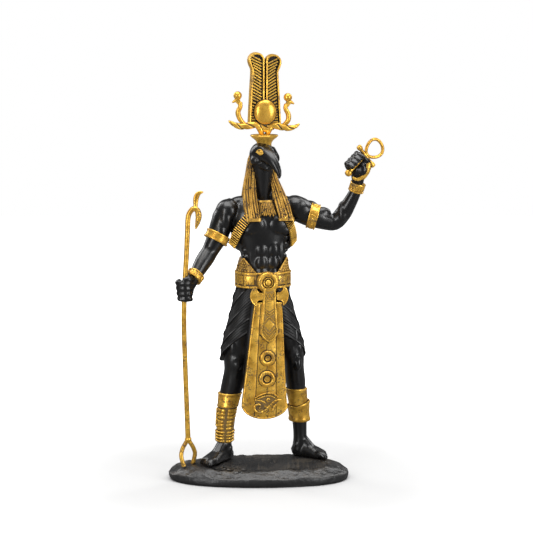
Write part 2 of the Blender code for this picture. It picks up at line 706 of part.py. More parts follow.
def headcloth(pieces):
    """Ribbed headcloth: the mass behind the head and the two lappets on the chest."""
    bm = bmesh.new()
    loft(bm, [
        (3.2, 2.6, 235.0, 6.0, 5.4),
        (3.2, 3.0, 231.0, 8.2, 8.2),
        (2.8, 3.6, 222.0, 9.0, 9.2),
        (2.4, 4.4, 213.0, 10.8, 9.6),
        (2.8, 5.4, 204.0, 13.4, 9.6),
        (3.6, 7.0, 196.0, 15.4, 9.0),
        (4.2, 9.0, 186.0, 14.6, 7.4),
        (4.2, 10.4, 176.0, 13.4, 5.4),
    ], steps=1, sides=28, rib_depth=0.06)
    pieces.append(object_from("headcloth back", bm, GUIDES))
    lappets = {
        "left lappet": [
            (-3.2, -1.6, 226.0, 2.8, 2.6),
            (-4.8, -4.6, 216.0, 3.6, 2.8),
            (-6.2, -8.0, 206.0, 4.2, 2.9),
            (-6.2, -12.0, 195.0, 4.5, 2.9),
            (-5.0, -14.6, 185.6, 4.9, 2.6),
            (-4.9, -14.8, 184.4, 5.2, 2.9),
            (-4.9, -14.8, 183.6, 5.1, 2.8),
        ],
        "right lappet": [
            (9.6, -1.6, 222.0, 2.8, 2.6),
            (11.2, -4.6, 213.0, 3.2, 2.8),
            (13.4, -8.0, 205.0, 3.8, 2.9),
            (16.0, -11.6, 195.0, 4.6, 2.9),
            (18.4, -14.0, 185.6, 5.0, 2.6),
            (18.5, -14.2, 184.4, 5.3, 2.9),
            (18.5, -14.2, 183.6, 5.2, 2.8),
        ],
    }
    for name, rows in lappets.items():
        bm = bmesh.new()
        loft(bm, rows, steps=1, sides=16, power=2.6, rib_depth=0.09)
        pieces.append(object_from(name, bm, GUIDES))
    bm = bmesh.new()
    loft(bm, [(4.6, -3.2, 198.0, 7.4, 8.4), (5.0, -4.0, 193.0, 8.0, 10.0), (5.4, -4.6, 187.2, 8.8, 11.2)],
         steps=1, sides=28, rib_depth=0.05)
    pieces.append(object_from("fringe", bm, GUIDES))
    for name, side, rows in (
            ("left strap", -1.0, [(-7.4, -14.0, 185.0), (-12.6, -11.6, 176.0), (-17.6, -6.6, 165.6)]),
            ("right strap", 1.0, [(18.8, -13.4, 185.0), (22.6, -10.4, 176.0), (25.4, -5.0, 165.6)])):
        bm = bmesh.new()
        path = between(rows, 5)
        ribbed = [(*place, 1.2 + 0.5 * (index % 2), 3.1) for index, place in enumerate(path)]
        loft(bm, ribbed, across=(side * 0.5, -1.0, 0.0), steps=1, sides=6, power=3.0)
        pieces.append(object_from(name, bm, GUIDES))


def rimmed(radius, height):
    """Profile of a cuff with a raised rim at each end."""
    half = height / 2.0
    return [(-half, radius + 0.4), (-half + 1.0, radius + 0.4), (-half + 1.3, radius), (half - 1.3, radius),
            (half - 1.0, radius + 0.4), (half, radius + 0.4)]


def arm_bands(pieces):
    """Rimmed bands on the upper arms and wrists, and the jewel on the raised palm."""
    bands = (
        ("right armband", (-29.3, -0.4, 170.2), (-0.46, -0.12, -0.86), 8.1, 5.8),
        ("left armband", (40.2, -1.6, 184.6), (0.95, -0.2, -0.26), 8.9, 6.4),
        ("right wristband", (-45.8, -12.6, 145.6), (-0.62, -0.44, -0.66), 6.0, 5.0),
        ("left wristband", (69.4, -11.9, 205.8), (0.24, -0.24, 0.94), 5.1, 6.4),
    )
    for name, centre, axis, radius, height in bands:
        bm = bmesh.new()
        turned(bm, centre, axis, rimmed(radius, height), sides=14, across=(0.3, 1.0, 0.2))
        pieces.append(object_from(name, bm, GUIDES))


def belt(pieces):
    """Belt with raised rims, hip plates and the round buckle."""
    bm = bmesh.new()
    rows = [(136.0, -0.4), (136.0, 1.0), (137.4, 1.0), (137.9, 0.3), (145.1, 0.3), (145.6, 1.0), (147.0, 1.0),
            (147.0, -0.4)]
    rings = []
    for height, proud in rows:
        ring = []
        for corner in range(24):
            c, s = rounded(2.0 * math.pi * corner / 24.0, 2.3)
            ring.append(spot(4.5 + c * (19.0 + proud), s * (14.4 + proud) - 0.2, height))
        rings.append(ring)
    skin(bm, rings)
    pieces.append(object_from("belt", bm, GUIDES))
    for name, side in (("left hip plate", -1.0), ("right hip plate", 1.0)):
        bm = bmesh.new()
        loft(bm, [
            (4.8 + side * 16.4, -7.4, 145.6, 6.6, 2.4),
            (4.8 + side * 15.2, -8.2, 150.0, 4.2, 2.2),
            (4.8 + side * 13.8, -8.6, 155.4, 0.8, 1.6),
        ], across=(-side * 0.72, -0.7, 0.0), steps=2, sides=8, power=3.0)
        pieces.append(object_from(name, bm, GUIDES))
    bm = bmesh.new()
    turned(bm, (4.6, 0.0, 141.4), (0.0, -1.0, 0.0), [
        (12.0, 6.9), (17.8, 7.1), (18.6, 6.4), (18.6, 5.2), (17.9, 4.8), (17.9, 3.8), (18.7, 3.2), (19.4, 0.9),
    ], sides=18)
    pieces.append(object_from("buckle", bm, GUIDES))


APRON_TOP = 131.0


def apron_face(z):
    """The y of the apron's front at this height."""
    return -19.4 - 3.4 * (APRON_TOP - z) / 86.0


def leaned(bm, slope=3.4 / 86.0):
    """Leans a plate that was made at the apron's top so that it follows the apron's front."""
    top = spot(0.0, 0.0, APRON_TOP).z
    forward = heading(0.0, -1.0, 0.0)
    for vert in bm.verts:
        vert.co += forward * max(0.0, top - vert.co.z) * slope


def apron(pieces):
    """Long apron with a rim, the pointed strip, crescents, two ring bosses and the eye."""
    bm = bmesh.new()
    foot_of_apron = arc(2.7, 55.5, 16.6, 10.8, 190.0, 350.0, 9)
    outline = [(14.3, APRON_TOP), (-4.2, APRON_TOP), (-7.6, 106.0), (-11.0, 80.0)] + foot_of_apron
    outline += [(16.2, 80.0), (15.4, 106.0)]
    plate(bm, outline, apron_face(APRON_TOP), apron_face(APRON_TOP) + 4.1, inset=1.5, sink=0.5)
    leaned(bm)
    pieces.append(object_from("apron panel", bm, GUIDES))
    bm = bmesh.new()
    strip = [(9.8, 137.0), (1.4, 137.0), (0.8, 126.0), (-1.0, 104.6), (5.2, 98.6), (11.2, 104.4), (10.2, 126.0)]
    front = apron_face(APRON_TOP) - 1.0
    plate(bm, strip, front, front + 4.0, inset=1.3, sink=0.5)
    leaned(bm)
    pieces.append(object_from("strip", bm, GUIDES))
    strokes = (((2.6, 120.0), (8.4, 114.4)), ((8.4, 120.1), (2.6, 114.5)), ((2.4, 112.4), (5.4, 109.4)),
               ((8.6, 112.5), (5.3, 109.3)), ((2.4, 108.0), (5.4, 105.0)), ((8.6, 108.1), (5.3, 104.9)))
    for index, (first, second) in enumerate(strokes):
        bm = bmesh.new()
        level = front + 0.4 + 0.12 * (index % 2)
        bar(bm, (first[0], level, first[1]), (second[0], level, second[1]), 0.5, 0.5)
        leaned(bm)
        pieces.append(object_from("strip pattern", bm, GUIDES))
    for name, side in (("left crescent", -1.0), ("right crescent", 1.0)):
        middle = 6.1 + side * 8.8
        outer = arc(middle - side * 1.4, 131.2, 5.6, 7.0, 72.0, -72.0, 9)
        inner = arc(middle - side * 3.4, 131.2, 4.6, 5.2, -48.0, 48.0, 6)
        shape = outer + inner
        if side < 0.0:
            shape = [(2.0 * (middle + 1.4) - x, z) if index < 9 else (2.0 * (middle + 3.4) - x, z)
                     for index, (x, z) in enumerate(shape)]
        bm = bmesh.new()
        plate(bm, shape, front + 0.3, front + 3.4)
        pieces.append(object_from(name, bm, GUIDES))
    bm = bmesh.new()
    bar(bm, (-4.6, front + 1.6, 130.6), (16.8, front + 1.6, 130.6), 2.0, 2.0)
    pieces.append(object_from("crescent link", bm, GUIDES))
    for x, z, radius in ((4.1, 87.7, 5.5), (3.6, 73.0, 5.9)):
        bm = bmesh.new()
        turned(bm, (x, apron_face(z), z), (0.0, -1.0, 0.0), [
            (-2.0, radius), (0.9, radius), (1.5, radius - 0.7), (1.5, radius - 1.9), (0.7, radius - 2.6),
            (0.7, radius - 3.7), (1.3, radius - 4.5),
        ], sides=16)
        pieces.append(object_from("ring boss", bm, GUIDES))


def eye_relief():
    """The protective eye at the foot of the apron, in raised strokes."""
    centre_x, centre_z = 3.7, 55.6
    front = apron_face(centre_z)
    curl = arc(-6.4, -3.6, 2.7, 2.7, 20.0, 250.0, 5)
    strokes = (
        [(-9.2, 3.6), (-6.0, 5.6), (-1.2, 6.4), (4.4, 5.6), (7.6, 4.0)],
        [(-9.4, 1.8), (-5.2, 3.6), (0.4, 4.2), (5.2, 3.0), (7.6, 1.6)],
        [(-8.6, 1.4), (-5.2, 0.2), (-1.2, -0.6), (2.5, 0.2), (4.8, 2.6)],
        curl + [(-4.0, -6.2), (0.4, -3.6), (4.8, 0.0), (9.6, 1.9)],
        [(6.8, -1.4), (4.4, -4.2), (3.2, -6.6), (5.0, -6.4)],
    )
    bm = bmesh.new()
    for stroke in strokes:
        rows = [(centre_x + u, front + 0.2, centre_z + w, 1.15, 0.75) for u, w in stroke]
        loft(bm, rows, across=(0.0, 1.0, 0.0), steps=4, sides=8)
    turned(bm, (centre_x + 0.8, front, centre_z + 1.9), (0.0, -1.0, 0.0), [(-1.2, 1.6), (0.6, 1.6), (0.9, 0.9)],
           sides=16)
    turned(bm, (centre_x - 0.4, front + 0.5, centre_z), (0.0, -1.0, 0.0), [(-2.0, 7.6), (0.1, 7.6)], sides=24,
           squash=0.5)
    return fused("eye relief", bm, GUIDES, FINE_VOXEL, 1, 380)


def point_on(rows, height):
    """The row of a leg at this height, by straight shares between its rows."""
    for upper, lower in zip(rows, rows[1:]):
        if lower[2] <= height <= upper[2]:
            share = (upper[2] - height) / (upper[2] - lower[2])
            return [a + (b - a) * share for a, b in zip(upper, lower)]
    return list(rows[-1])


def sleeve(rows, profile, sides):
    """A sleeve round a leg: the profile is pairs of height and how far it stands proud of the leg."""
    rings = []
    for height, proud in profile:
        x, y, z, wide, deep = point_on(rows, height)
        ring = []
        for corner in range(sides):
            c, s = rounded(2.0 * math.pi * corner / sides, 2.0)
            ring.append(spot(x + c * (wide + proud), y + s * (deep + proud), height))
        rings.append(ring)
    bm = bmesh.new()
    skin(bm, rings)
    return bm


def leg_ornaments(pieces):
    """Wrapped greave with ankle rings on one leg, smooth greave with a cuff on the other."""
    profile = [(59.8, 0.2), (59.6, 1.1), (58.2, 1.1), (57.8, 0.7), (50.8, 0.9), (50.4, 1.3), (49.2, 1.3)]
    level = 48.8
    while level > 33.0:
        profile += [(level, 0.5), (level - 1.3, 1.1)]
        level -= 2.7
    while level > 24.0:
        profile += [(level, 0.5), (level - 0.8, 1.5)]
        level -= 2.1
    profile += [(level, 0.1)]
    pieces.append(object_from("wrapped greave", sleeve(LEG_RIGHT, profile, 11), GUIDES))
    profile = [(61.4, 0.2), (61.2, 0.9), (52.0, 0.9), (50.4, 1.2), (50.0, 2.2), (48.2, 2.2), (47.6, 1.8),
               (39.6, 2.0), (39.0, 2.5), (37.4, 2.5), (37.0, 0.2)]
    pieces.append(object_from("cuffed greave", sleeve(LEG_LEFT, profile, 14), GUIDES))


def staff_path():
    """Rows of the staff's shaft and crook, from just above its fork to its snout, in figure millimetres."""
    radius = STAFF_RADIUS / UNIT
    grip_x, grip_y, grip_z = STAFF_GRIP
    rows = [(-50.6, -9.0, 27.0), (-51.6, -10.6, 52.0), (-53.0, -13.0, 85.0), (-53.9, -15.2, 112.0),
            (grip_x, grip_y, grip_z), (-51.9, -16.6, 160.0), (-50.8, -16.6, 178.0), (-50.4, -16.6, 187.0),
            (-48.6, -16.8, 191.4), (-45.4, -17.0, 191.8), (-43.4, -17.2, 188.4), (-43.0, -17.4, 183.4),
            (-43.6, -17.6, 179.0)]
    sizes = [1.0] * 8 + [1.0, 1.05, 1.05, 0.95, 0.45]
    return [(*row, radius * size, radius * size) for row, size in zip(rows, sizes)]


PRONGS = {
    "outer prong": [(-50.6, -9.0, 28.6), (-54.4, -9.8, 23.6), (-55.8, -10.8, 18.6), (-54.0, -11.8, 11.0)],
    "inner prong": [(-50.6, -9.0, 28.6), (-46.8, -7.4, 23.6), (-45.4, -6.2, 18.6), (-47.0, -5.4, 11.0)],
}


def prong_rows(name, radius, extra_depth):
    """Rows of one prong down to its end in the rock, for the prong itself or for its socket."""
    rows = [(*row, radius / UNIT, radius / UNIT) for row in PRONGS[name]]
    x, y, z = PRONGS[name][-1]
    rows.append((x, y, z - (SOCKET_DEPTH + extra_depth) / UNIT, radius / UNIT, radius / UNIT))
    return rows


def was_sceptre():
    """The staff: forked foot, slightly bent shaft, crooked head with a raised ear."""
    bm = bmesh.new()
    loft(bm, staff_path(), across=(0.0, 1.0, 0.0), steps=2, sides=7)
    staff = object_from("was_sceptre", bm, PARTS)
    pieces = []
    for name in PRONGS:
        bm = bmesh.new()
        loft(bm, prong_rows(name, PRONG_RADIUS, 0.0), across=(0.0, 1.0, 0.0), steps=1, sides=7)
        pieces.append(object_from(name, bm, GUIDES))
    bm = bmesh.new()
    loft(bm, [(-45.4, -16.8, 190.6, 1.2, 1.2), (-45.6, -16.6, 195.0, 1.1, 1.9), (-45.0, -16.6, 199.4, 1.0, 2.0),
              (-42.6, -16.6, 203.0, 0.9, 1.6), (-39.4, -16.6, 205.0, 0.5, 0.5)],
         across=(0.0, 1.0, 0.0), steps=2, sides=8)
    pieces.append(object_from("ear", bm, GUIDES))
    unite(staff, pieces)
    return baked(staff)


CROSS_ARM_HIGH = Vector((68.0, -21.4, 235.4))
CROSS_ARM_LOW = Vector((79.6, -19.0, 220.6))


def cross_arm_rows(gap):
    """Rows of the ankh's flared cross arms from end to end, grown by a gap all round."""
    reach = gap / (CROSS_ARM_LOW - CROSS_ARM_HIGH).length
    rows = []
    for share, size in ((-reach, 1.3), (0.08, 1.9), (0.16, 1.9), (0.3, 1.15), (0.5, 1.3), (0.7, 1.15), (0.84, 1.9),
                        (0.92, 1.9), (1.0 + reach, 1.3)):
        rows.append((*CROSS_ARM_HIGH.lerp(CROSS_ARM_LOW, share), size + gap, size + gap))
    return rows


def ankh():
    """The ankh: knobbed shaft, flared arms and a round loop."""
    shaft = ANKH_SHAFT_RADIUS / UNIT
    loop = ANKH_LOOP_RADIUS / UNIT
    knob, cross = Vector(ANKH_KNOB), Vector(ANKH_CROSS)
    along = (cross - knob).normalized()
    bm = bmesh.new()
    rows = [(*(knob - along * 2.4), 1.0, 1.0), (*(knob - along * 1.2), 2.3, 2.3), (*(knob + along * 0.6), 2.4, 2.4),
            (*(knob + along * 2.2), shaft, shaft), (*(cross + along * 1.0), shaft, shaft)]
    loft(bm, rows, across=(0.0, 1.0, 0.0), steps=1, sides=10)
    item = object_from("ankh", bm, PARTS)
    bm = bmesh.new()
    loft(bm, cross_arm_rows(0.0), across=(0.0, 1.0, 0.0), steps=1, sides=10)
    pieces = [object_from("cross arms", bm, GUIDES)]
    bm = bmesh.new()
    bar_side = (CROSS_ARM_LOW - CROSS_ARM_HIGH).normalized()
    out = along
    rings = []
    normal = out.cross(bar_side).normalized()
    wide = normal.cross(out).normalized()
    for index in range(18):
        angle = 2.0 * math.pi * index / 18.0
        centre = cross + out * (8.6 - 7.4 * math.cos(angle)) + wide * 6.2 * math.sin(angle) * (
            1.0 - 0.22 * math.cos(angle))
        outward = (out * -math.cos(angle) + wide * math.sin(angle)).normalized()
        ring = []
        for corner in range(6):
            turn = 2.0 * math.pi * corner / 6.0
            place = centre + (outward * math.cos(turn) + normal * math.sin(turn)) * loop
            ring.append(spot(*place))
        rings.append(ring)
    skin(bm, rings, closed=True)
    pieces.append(object_from("loop", bm, GUIDES))
    unite(item, pieces)
    return baked(item)


def unite(body, pieces, operation="UNION"):
    """Joins or cuts with each piece in turn, and keeps the pieces as hidden guides."""
    for piece in pieces:
        piece.hide_render = True
        piece.display_type = "WIRE"
        step = body.modifiers.new(piece.name, "BOOLEAN")
        step.operation = operation
        step.solver = "EXACT"
        step.object = piece


def fits(pieces):
    """Cutters for the grips and sockets: the staff, the prongs and the ankh's shaft with their clearance."""
    bm = bmesh.new()
    radius = (STAFF_RADIUS + FIT_CLEARANCE) / UNIT
    rows = [(*row[:3], radius, radius) for row in staff_path()[:8]]
    loft(bm, rows, across=(0.0, 1.0, 0.0), steps=2, sides=7)
    pieces.append(object_from("staff bore", bm, GUIDES))
    for name in PRONGS:
        bm = bmesh.new()
        rows = prong_rows(name, PRONG_RADIUS + FIT_CLEARANCE, FIT_CLEARANCE)
        loft(bm, rows, across=(0.0, 1.0, 0.0), steps=1, sides=7)
        pieces.append(object_from(name + " socket", bm, GUIDES))
    knob, cross = Vector(ANKH_KNOB), Vector(ANKH_CROSS)
    along = (cross - knob).normalized()
    gap = FIT_CLEARANCE / UNIT
    shaft = ANKH_SHAFT_RADIUS / UNIT + gap
    rows = [(*(knob - along * 3.0), 1.2 + gap, 1.2 + gap), (*(knob - along * 1.4), 2.5 + gap, 2.5 + gap),
            (*(knob + along * 0.9), 2.5 + gap, 2.5 + gap), (*(knob + along * 2.6), shaft, shaft),
            (*(cross + along * 2.0), shaft, shaft)]
    bm = bmesh.new()
    loft(bm, rows, across=(0.0, 1.0, 0.0), steps=1, sides=12)
    pieces.append(object_from("ankh bore", bm, GUIDES))
    bm = bmesh.new()
    loft(bm, cross_arm_rows(gap), across=(0.0, 1.0, 0.0), steps=1, sides=10)
    pieces.append(object_from("cross arm clearance", bm, GUIDES))


def figure():
    """The whole casting: flesh, ornaments, kilt and rock in one solid."""
    body = flesh()
    pieces = []
    for build in (crown, headcloth, arm_bands, belt, apron, leg_ornaments):
        build(pieces)
    unite(body, pieces)
    thinned(baked(body), FIGURE_TRIANGLES)
    bm = bmesh.new()
    rock_base(bm)
    crisp_pieces = [object_from("rock", bm, GUIDES), eye_relief()]
    kilt(crisp_pieces)
    unite(body, crisp_pieces)
    cutters = []
    fits(cutters)
    unite(body, cutters, "DIFFERENCE")
    return mended(baked(body))


def main():
    """Builds the three pieces and dresses them."""
    clear_scene()
    black = finish_material("black resin", (0.012, 0.012, 0.014), 0.32, 0.0)
    gold = finish_material("antique gold paint", (0.62, 0.38, 0.08), 0.34, 0.85)
    for thing, material in ((figure(), black), (was_sceptre(), gold), (ankh(), gold)):
        thing.data.materials.clear()
        thing.data.materials.append(material)
        thing.data.shade_smooth()
        thing.data.set_sharp_from_angle(angle=math.radians(35.0))


main()
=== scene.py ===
"""Dresses the ibis-headed figurine: black and antique gold resin on an oval rock, with staff and ankh.

Shapes of the figure are given in its own millimetres: the plumes end at 300 and the soles stand at 11.
The function spot turns them into metres in the part's frame. The front looks along -Y, and the raised arm
is at +X.
"""

import logging
import math
from collections.abc import Callable, Mapping, Sequence
from dataclasses import dataclass
from enum import Enum

import bmesh
import bpy
from mathutils import Matrix, Vector, noise
from mathutils.bvhtree import BVHTree


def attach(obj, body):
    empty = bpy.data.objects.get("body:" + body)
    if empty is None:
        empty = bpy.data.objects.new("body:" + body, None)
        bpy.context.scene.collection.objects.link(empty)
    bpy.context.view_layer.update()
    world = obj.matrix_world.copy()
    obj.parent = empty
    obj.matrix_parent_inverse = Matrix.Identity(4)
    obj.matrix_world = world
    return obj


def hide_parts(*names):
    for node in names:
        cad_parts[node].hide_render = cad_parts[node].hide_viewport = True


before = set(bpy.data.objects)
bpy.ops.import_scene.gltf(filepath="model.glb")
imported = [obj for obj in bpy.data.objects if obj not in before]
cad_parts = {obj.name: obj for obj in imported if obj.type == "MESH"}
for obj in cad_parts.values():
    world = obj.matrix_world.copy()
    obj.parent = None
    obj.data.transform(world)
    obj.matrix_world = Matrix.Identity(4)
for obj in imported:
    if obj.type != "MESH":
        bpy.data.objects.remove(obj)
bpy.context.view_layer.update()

LOG = logging.getLogger("figurine")

MM = 0.001
SOLE_LEVEL = 11.0
BASE_LENGTH = 129.0
BASE_DEPTH = 66.0
FIGURE_TURN = Matrix.Rotation(math.radians(10.0), 3, "Z")
FIGURE_PLACE = Vector((-0.0015, 0.0095, 0.0))
RIGHTWARDS = (1.0, 0.0, 0.0)
FRONT_TO_BACK = (0.0, 1.0, 0.0)
UPWARDS = (0.0, 0.0, 1.0)
# Groove depth, as a share of the size, at which its painted shade is full.
GROOVE_AT_FULL_SHADE = 0.25
FORWARDS = (0.0, -1.0, 0.0)

Row = Sequence[float]
Carve = Callable[[float, float], float]
Colour = tuple[float, float, float]


def spot(x: float, y: float, z: float) -> Vector:
    """A place on the figure, from its own millimetres to metres in the part's frame."""
    turned = FIGURE_TURN @ Vector((x * MM, y * MM, 0.0))
    return Vector((turned.x, turned.y, z * MM)) + FIGURE_PLACE


def heading(x: float, y: float, z: float) -> Vector:
    """A direction on the figure, turned as the figure is."""
    return (FIGURE_TURN @ Vector((x, y, z))).normalized()


def between(rows: Sequence[Row], steps: int) -> list[list[float]]:
    """Rows on a smooth curve through the given rows.

    Args:
        rows: rows of numbers of one length.
        steps: how many spans run from one row to the next.

    Returns:
        The given rows and those between them.
    """
    padded = [rows[0], *rows, rows[-1]]
    result: list[list[float]] = []
    for index in range(len(rows) - 1):
        before, start, end, after = padded[index:index + 4]
        for step in range(steps):
            t = step / steps
            weights = (
                -0.5 * t + t * t - 0.5 * t ** 3,
                1.0 - 2.5 * t * t + 1.5 * t ** 3,
                0.5 * t + 2.0 * t * t - 1.5 * t ** 3,
                -0.5 * t * t + 0.5 * t ** 3,
            )
            columns = zip(before, start, end, after)
            result.append([sum(w * v for w, v in zip(weights, column)) for column in columns])
    result.append(list(rows[-1]))
    return result


def row_at(rows: Sequence[Row], height: float) -> list[float]:
    """The row at this height, by straight shares between rows whose third number is their height."""
    ordered = sorted(rows, key=lambda row: row[2])
    if height <= ordered[0][2]:
        return list(ordered[0])
    for lower, upper in zip(ordered, ordered[1:]):
        if height <= upper[2]:
            share = (height - lower[2]) / (upper[2] - lower[2])
            return [a + (b - a) * share for a, b in zip(lower, upper)]
    return list(ordered[-1])


def rounded(angle: float, power: float) -> tuple[float, float]:
    """A point of the unit superellipse: power 2 is an ellipse, and more is squarer."""
    c, s = math.cos(angle), math.sin(angle)
    exponent = 2.0 / power
    return math.copysign(abs(c) ** exponent, c), math.copysign(abs(s) ** exponent, s)


def arc(centre: tuple[float, float], radii: tuple[float, float], start: float, end: float,
        count: int) -> list[tuple[float, float]]:
    """Points of x and z on an arc, with its angles in degrees from +X towards +Z."""
    points = []
    for index in range(count):
        angle = math.radians(start + (end - start) * index / (count - 1))
        points.append((centre[0] + radii[0] * math.cos(angle), centre[1] + radii[1] * math.sin(angle)))
    return points


def around(count: int) -> list[tuple[float, float]]:
    """Cosine and sine at even steps of a full turn."""
    angles = [2.0 * math.pi * index / count for index in range(count)]
    return [(math.cos(angle), math.sin(angle)) for angle in angles]


@dataclass(frozen=True)
class Station:
    """A cross-section: its middle, and its two half axes with their lengths, in metres."""

    place: Vector
    wide: Vector
    deep: Vector


def stations_along(rows: Sequence[Row], across: Row = RIGHTWARDS, steps: int = 3) -> list[Station]:
    """Cross-sections along a path.

    Args:
        rows: x, y, z, half width and half depth in figure millimetres.
        across: the direction that the half width keeps to, as far as the path allows.
        steps: spans from one row to the next.

    Returns:
        The stations, evenly stepped along a smooth curve through the rows.
    """
    samples = between(rows, steps)
    places = [spot(*row[:3]) for row in samples]
    side = heading(*across)
    stations = []
    for index, row in enumerate(samples):
        ahead = places[min(index + 1, len(places) - 1)] - places[max(index - 1, 0)]
        ahead.normalize()
        wide = (side - ahead * side.dot(ahead)).normalized()
        deep = ahead.cross(wide)
        stations.append(Station(places[index], wide * row[3] * MM, deep * row[4] * MM))
    return stations


class Clay:
    """Shapes gathered in one mesh, each with a share from 0 to 1 of dark paint: mostly painted shade,
    some real dark marks.
    """

    def __init__(self) -> None:
        """Starts with an empty mesh."""
        self.mesh = bmesh.new()
        self.wash_and_shade = self.mesh.verts.layers.float.new("wash_and_shade")

    def add(self, shape: bmesh.types.BMesh, wash_and_shade: float = 0.0) -> None:
        """Takes over a closed shape, and frees it."""
        bmesh.ops.recalc_face_normals(shape, faces=shape.faces)
        passing = bpy.data.meshes.new("passing")
        shape.to_mesh(passing)
        shape.free()
        start = len(self.mesh.verts)
        self.mesh.from_mesh(passing)
        bpy.data.meshes.remove(passing)
        self.mesh.verts.ensure_lookup_table()
        for vert in self.mesh.verts[start:]:
            vert[self.wash_and_shade] = max(vert[self.wash_and_shade], wash_and_shade)

    def skin(self, stations: Sequence[Station], sides: int = 16, power: float = 2.0,
             carve: Carve | None = None, cyclic: bool = False, wash_and_shade: float = 0.0,
             groove_shade: float = 0.0) -> None:
        """Bridges a ring round each station into one solid.

        Args:
            stations: the cross-sections in order.
            sides: points round each ring.
            power: 2 for oval rings, and more for squarer ones.
            carve: a factor on the ring's size by its angle and by its share of the length.
            cyclic: True joins the last ring to the first.
            wash_and_shade: share of dark paint, mostly painted shade.
            groove_shade: share of painted shade where the carving is deepest.
        """
        shape = bmesh.new()
        layer = shape.verts.layers.float.new("wash_and_shade")
        rings = []
        for index, station in enumerate(stations):
            share = index / max(1, len(stations) - 1)
            ring = bmesh.ops.create_circle(shape, cap_ends=False, segments=sides, radius=1.0)["verts"]
            edges = list({edge for vert in ring for edge in vert.link_edges})
            for vert in ring:
                angle = math.atan2(vert.co.y, vert.co.x)
                c, s = rounded(angle, power)
                size = carve(angle, share) if carve else 1.0
                vert.co = station.place + (station.wide * c + station.deep * s) * size
                # Painted shade in the carved grooves, full where a groove is deepest.
                vert[layer] = min(1.0, groove_shade * max(0.0, 1.0 - size) / GROOVE_AT_FULL_SHADE)
            rings.append(edges)
        pairs = list(zip(rings, rings[1:]))
        if cyclic:
            pairs.append((rings[-1], rings[0]))
        for lower, upper in pairs:
            bmesh.ops.bridge_loops(shape, edges=lower + upper)
        if not cyclic:
            for ring in (rings[0], rings[-1]):
                bmesh.ops.contextual_create(shape, geom=ring)
        self.add(shape, wash_and_shade)

    def limb(self, rows: Sequence[Row], across: Row = RIGHTWARDS, steps: int = 3, sides: int = 16,
             power: float = 2.0, carve: Carve | None = None, wash_and_shade: float = 0.0,
             groove_shade: float = 0.0) -> None:
        """A limb, cord or strap along rows of x, y, z, half width and half depth."""
        self.skin(stations_along(rows, across, steps), sides, power, carve, False, wash_and_shade, groove_shade)

    def ball(self, centre: Row, radii: Row, turn: float = 0.0, tilt: float = 0.0, segments: int = 24,
             wash_and_shade: float = 0.0) -> None:
        """An ellipsoid, tilted about its X and then turned about its Z by degrees."""
        shape = bmesh.new()
        sizes = Matrix.Diagonal((*[radius * MM for radius in radii], 1.0))
        lean = Matrix.Rotation(math.radians(turn), 4, "Z") @ Matrix.Rotation(math.radians(tilt), 4, "X")
        place = Matrix.Translation(spot(*centre)) @ FIGURE_TURN.to_4x4() @ lean @ sizes
        bmesh.ops.create_uvsphere(shape, u_segments=segments, v_segments=segments // 2, radius=1.0,
                                  matrix=place)
        self.add(shape, wash_and_shade)

    def turned(self, centre: Row, axis: Row, profile: Sequence[tuple[float, float]], sides: int = 40,
               across: Row = RIGHTWARDS, squash: float = 1.0, wash_and_shade: float = 0.0) -> None:
        """A turned solid.

        Args:
            centre: the middle of the axis, in figure millimetres.
            axis: the direction of the axis.
            profile: pairs of height along the axis and radius, in millimetres.
            sides: points round the axis.
            across: the direction in which the radius is not squashed.
            squash: factor on the radius square to that.
            wash_and_shade: share of dark paint, mostly painted shade.
        """
        shape = bmesh.new()
        path = [(profile[0][0], 0.0), *profile, (profile[-1][0], 0.0)]
        points = [shape.verts.new((radius, 0.0, height)) for height, radius in path]
        edges = [shape.edges.new(pair) for pair in zip(points, points[1:])]
        bmesh.ops.spin(shape, geom=points + edges, cent=(0.0, 0.0, 0.0), axis=(0.0, 0.0, 1.0),
                       dvec=(0.0, 0.0, 0.0), angle=2.0 * math.pi, steps=sides, use_merge=True,
                       use_normal_flip=False, use_duplicate=False)
        bmesh.ops.remove_doubles(shape, verts=shape.verts, dist=0.0005)
        ahead = heading(*axis)
        side = heading(*across)
        wide = (side - ahead * side.dot(ahead)).normalized()
        deep = ahead.cross(wide) * squash
        frame_of_axis = Matrix((wide, deep, ahead)).transposed() * MM
        bmesh.ops.transform(shape, matrix=Matrix.Translation(spot(*centre)) @ frame_of_axis.to_4x4(),
                            verts=shape.verts)
        self.add(shape, wash_and_shade)

    def plate(self, outline: Sequence[tuple[float, float]], front: float, back: float,
              bevel: float = 0.3, segments: int = 2, fall: Callable[[float], float] | None = None,
              wash_and_shade: float = 0.0) -> None:
        """An upright plate with a rounded front edge.

        Args:
            outline: pairs of x and z in figure millimetres.
            front: y of its front.
            back: y of its back.
            bevel: width of the rounding.
            segments: faces across the rounding.
            fall: what is added to y at each height z.
            wash_and_shade: share of dark paint, mostly painted shade.
        """
        shape = bmesh.new()
        floor = shape.faces.new([shape.verts.new((x, back, z)) for x, z in outline])
        grown = bmesh.ops.extrude_face_region(shape, geom=[floor])["geom"]
        moved = [item for item in grown if isinstance(item, bmesh.types.BMVert)]
        bmesh.ops.translate(shape, vec=(0.0, front - back, 0.0), verts=moved)
        if floor not in list(shape.faces):
            bmesh.ops.holes_fill(shape, edges=[edge for edge in shape.edges if edge.is_boundary])
        raised = set(moved)
        rim = [edge for edge in shape.edges if edge.verts[0] in raised and edge.verts[1] in raised]
        bmesh.ops.recalc_face_normals(shape, faces=shape.faces)
        if bevel > 0.0:
            bmesh.ops.bevel(shape, geom=rim, offset=bevel, offset_type="OFFSET", segments=segments,
                            profile=0.5, affect="EDGES", material=-1, clamp_overlap=True)
        for vert in shape.verts:
            x, y, z = vert.co
            vert.co = spot(x, y + (fall(z) if fall else 0.0), z)
        self.add(shape, wash_and_shade)

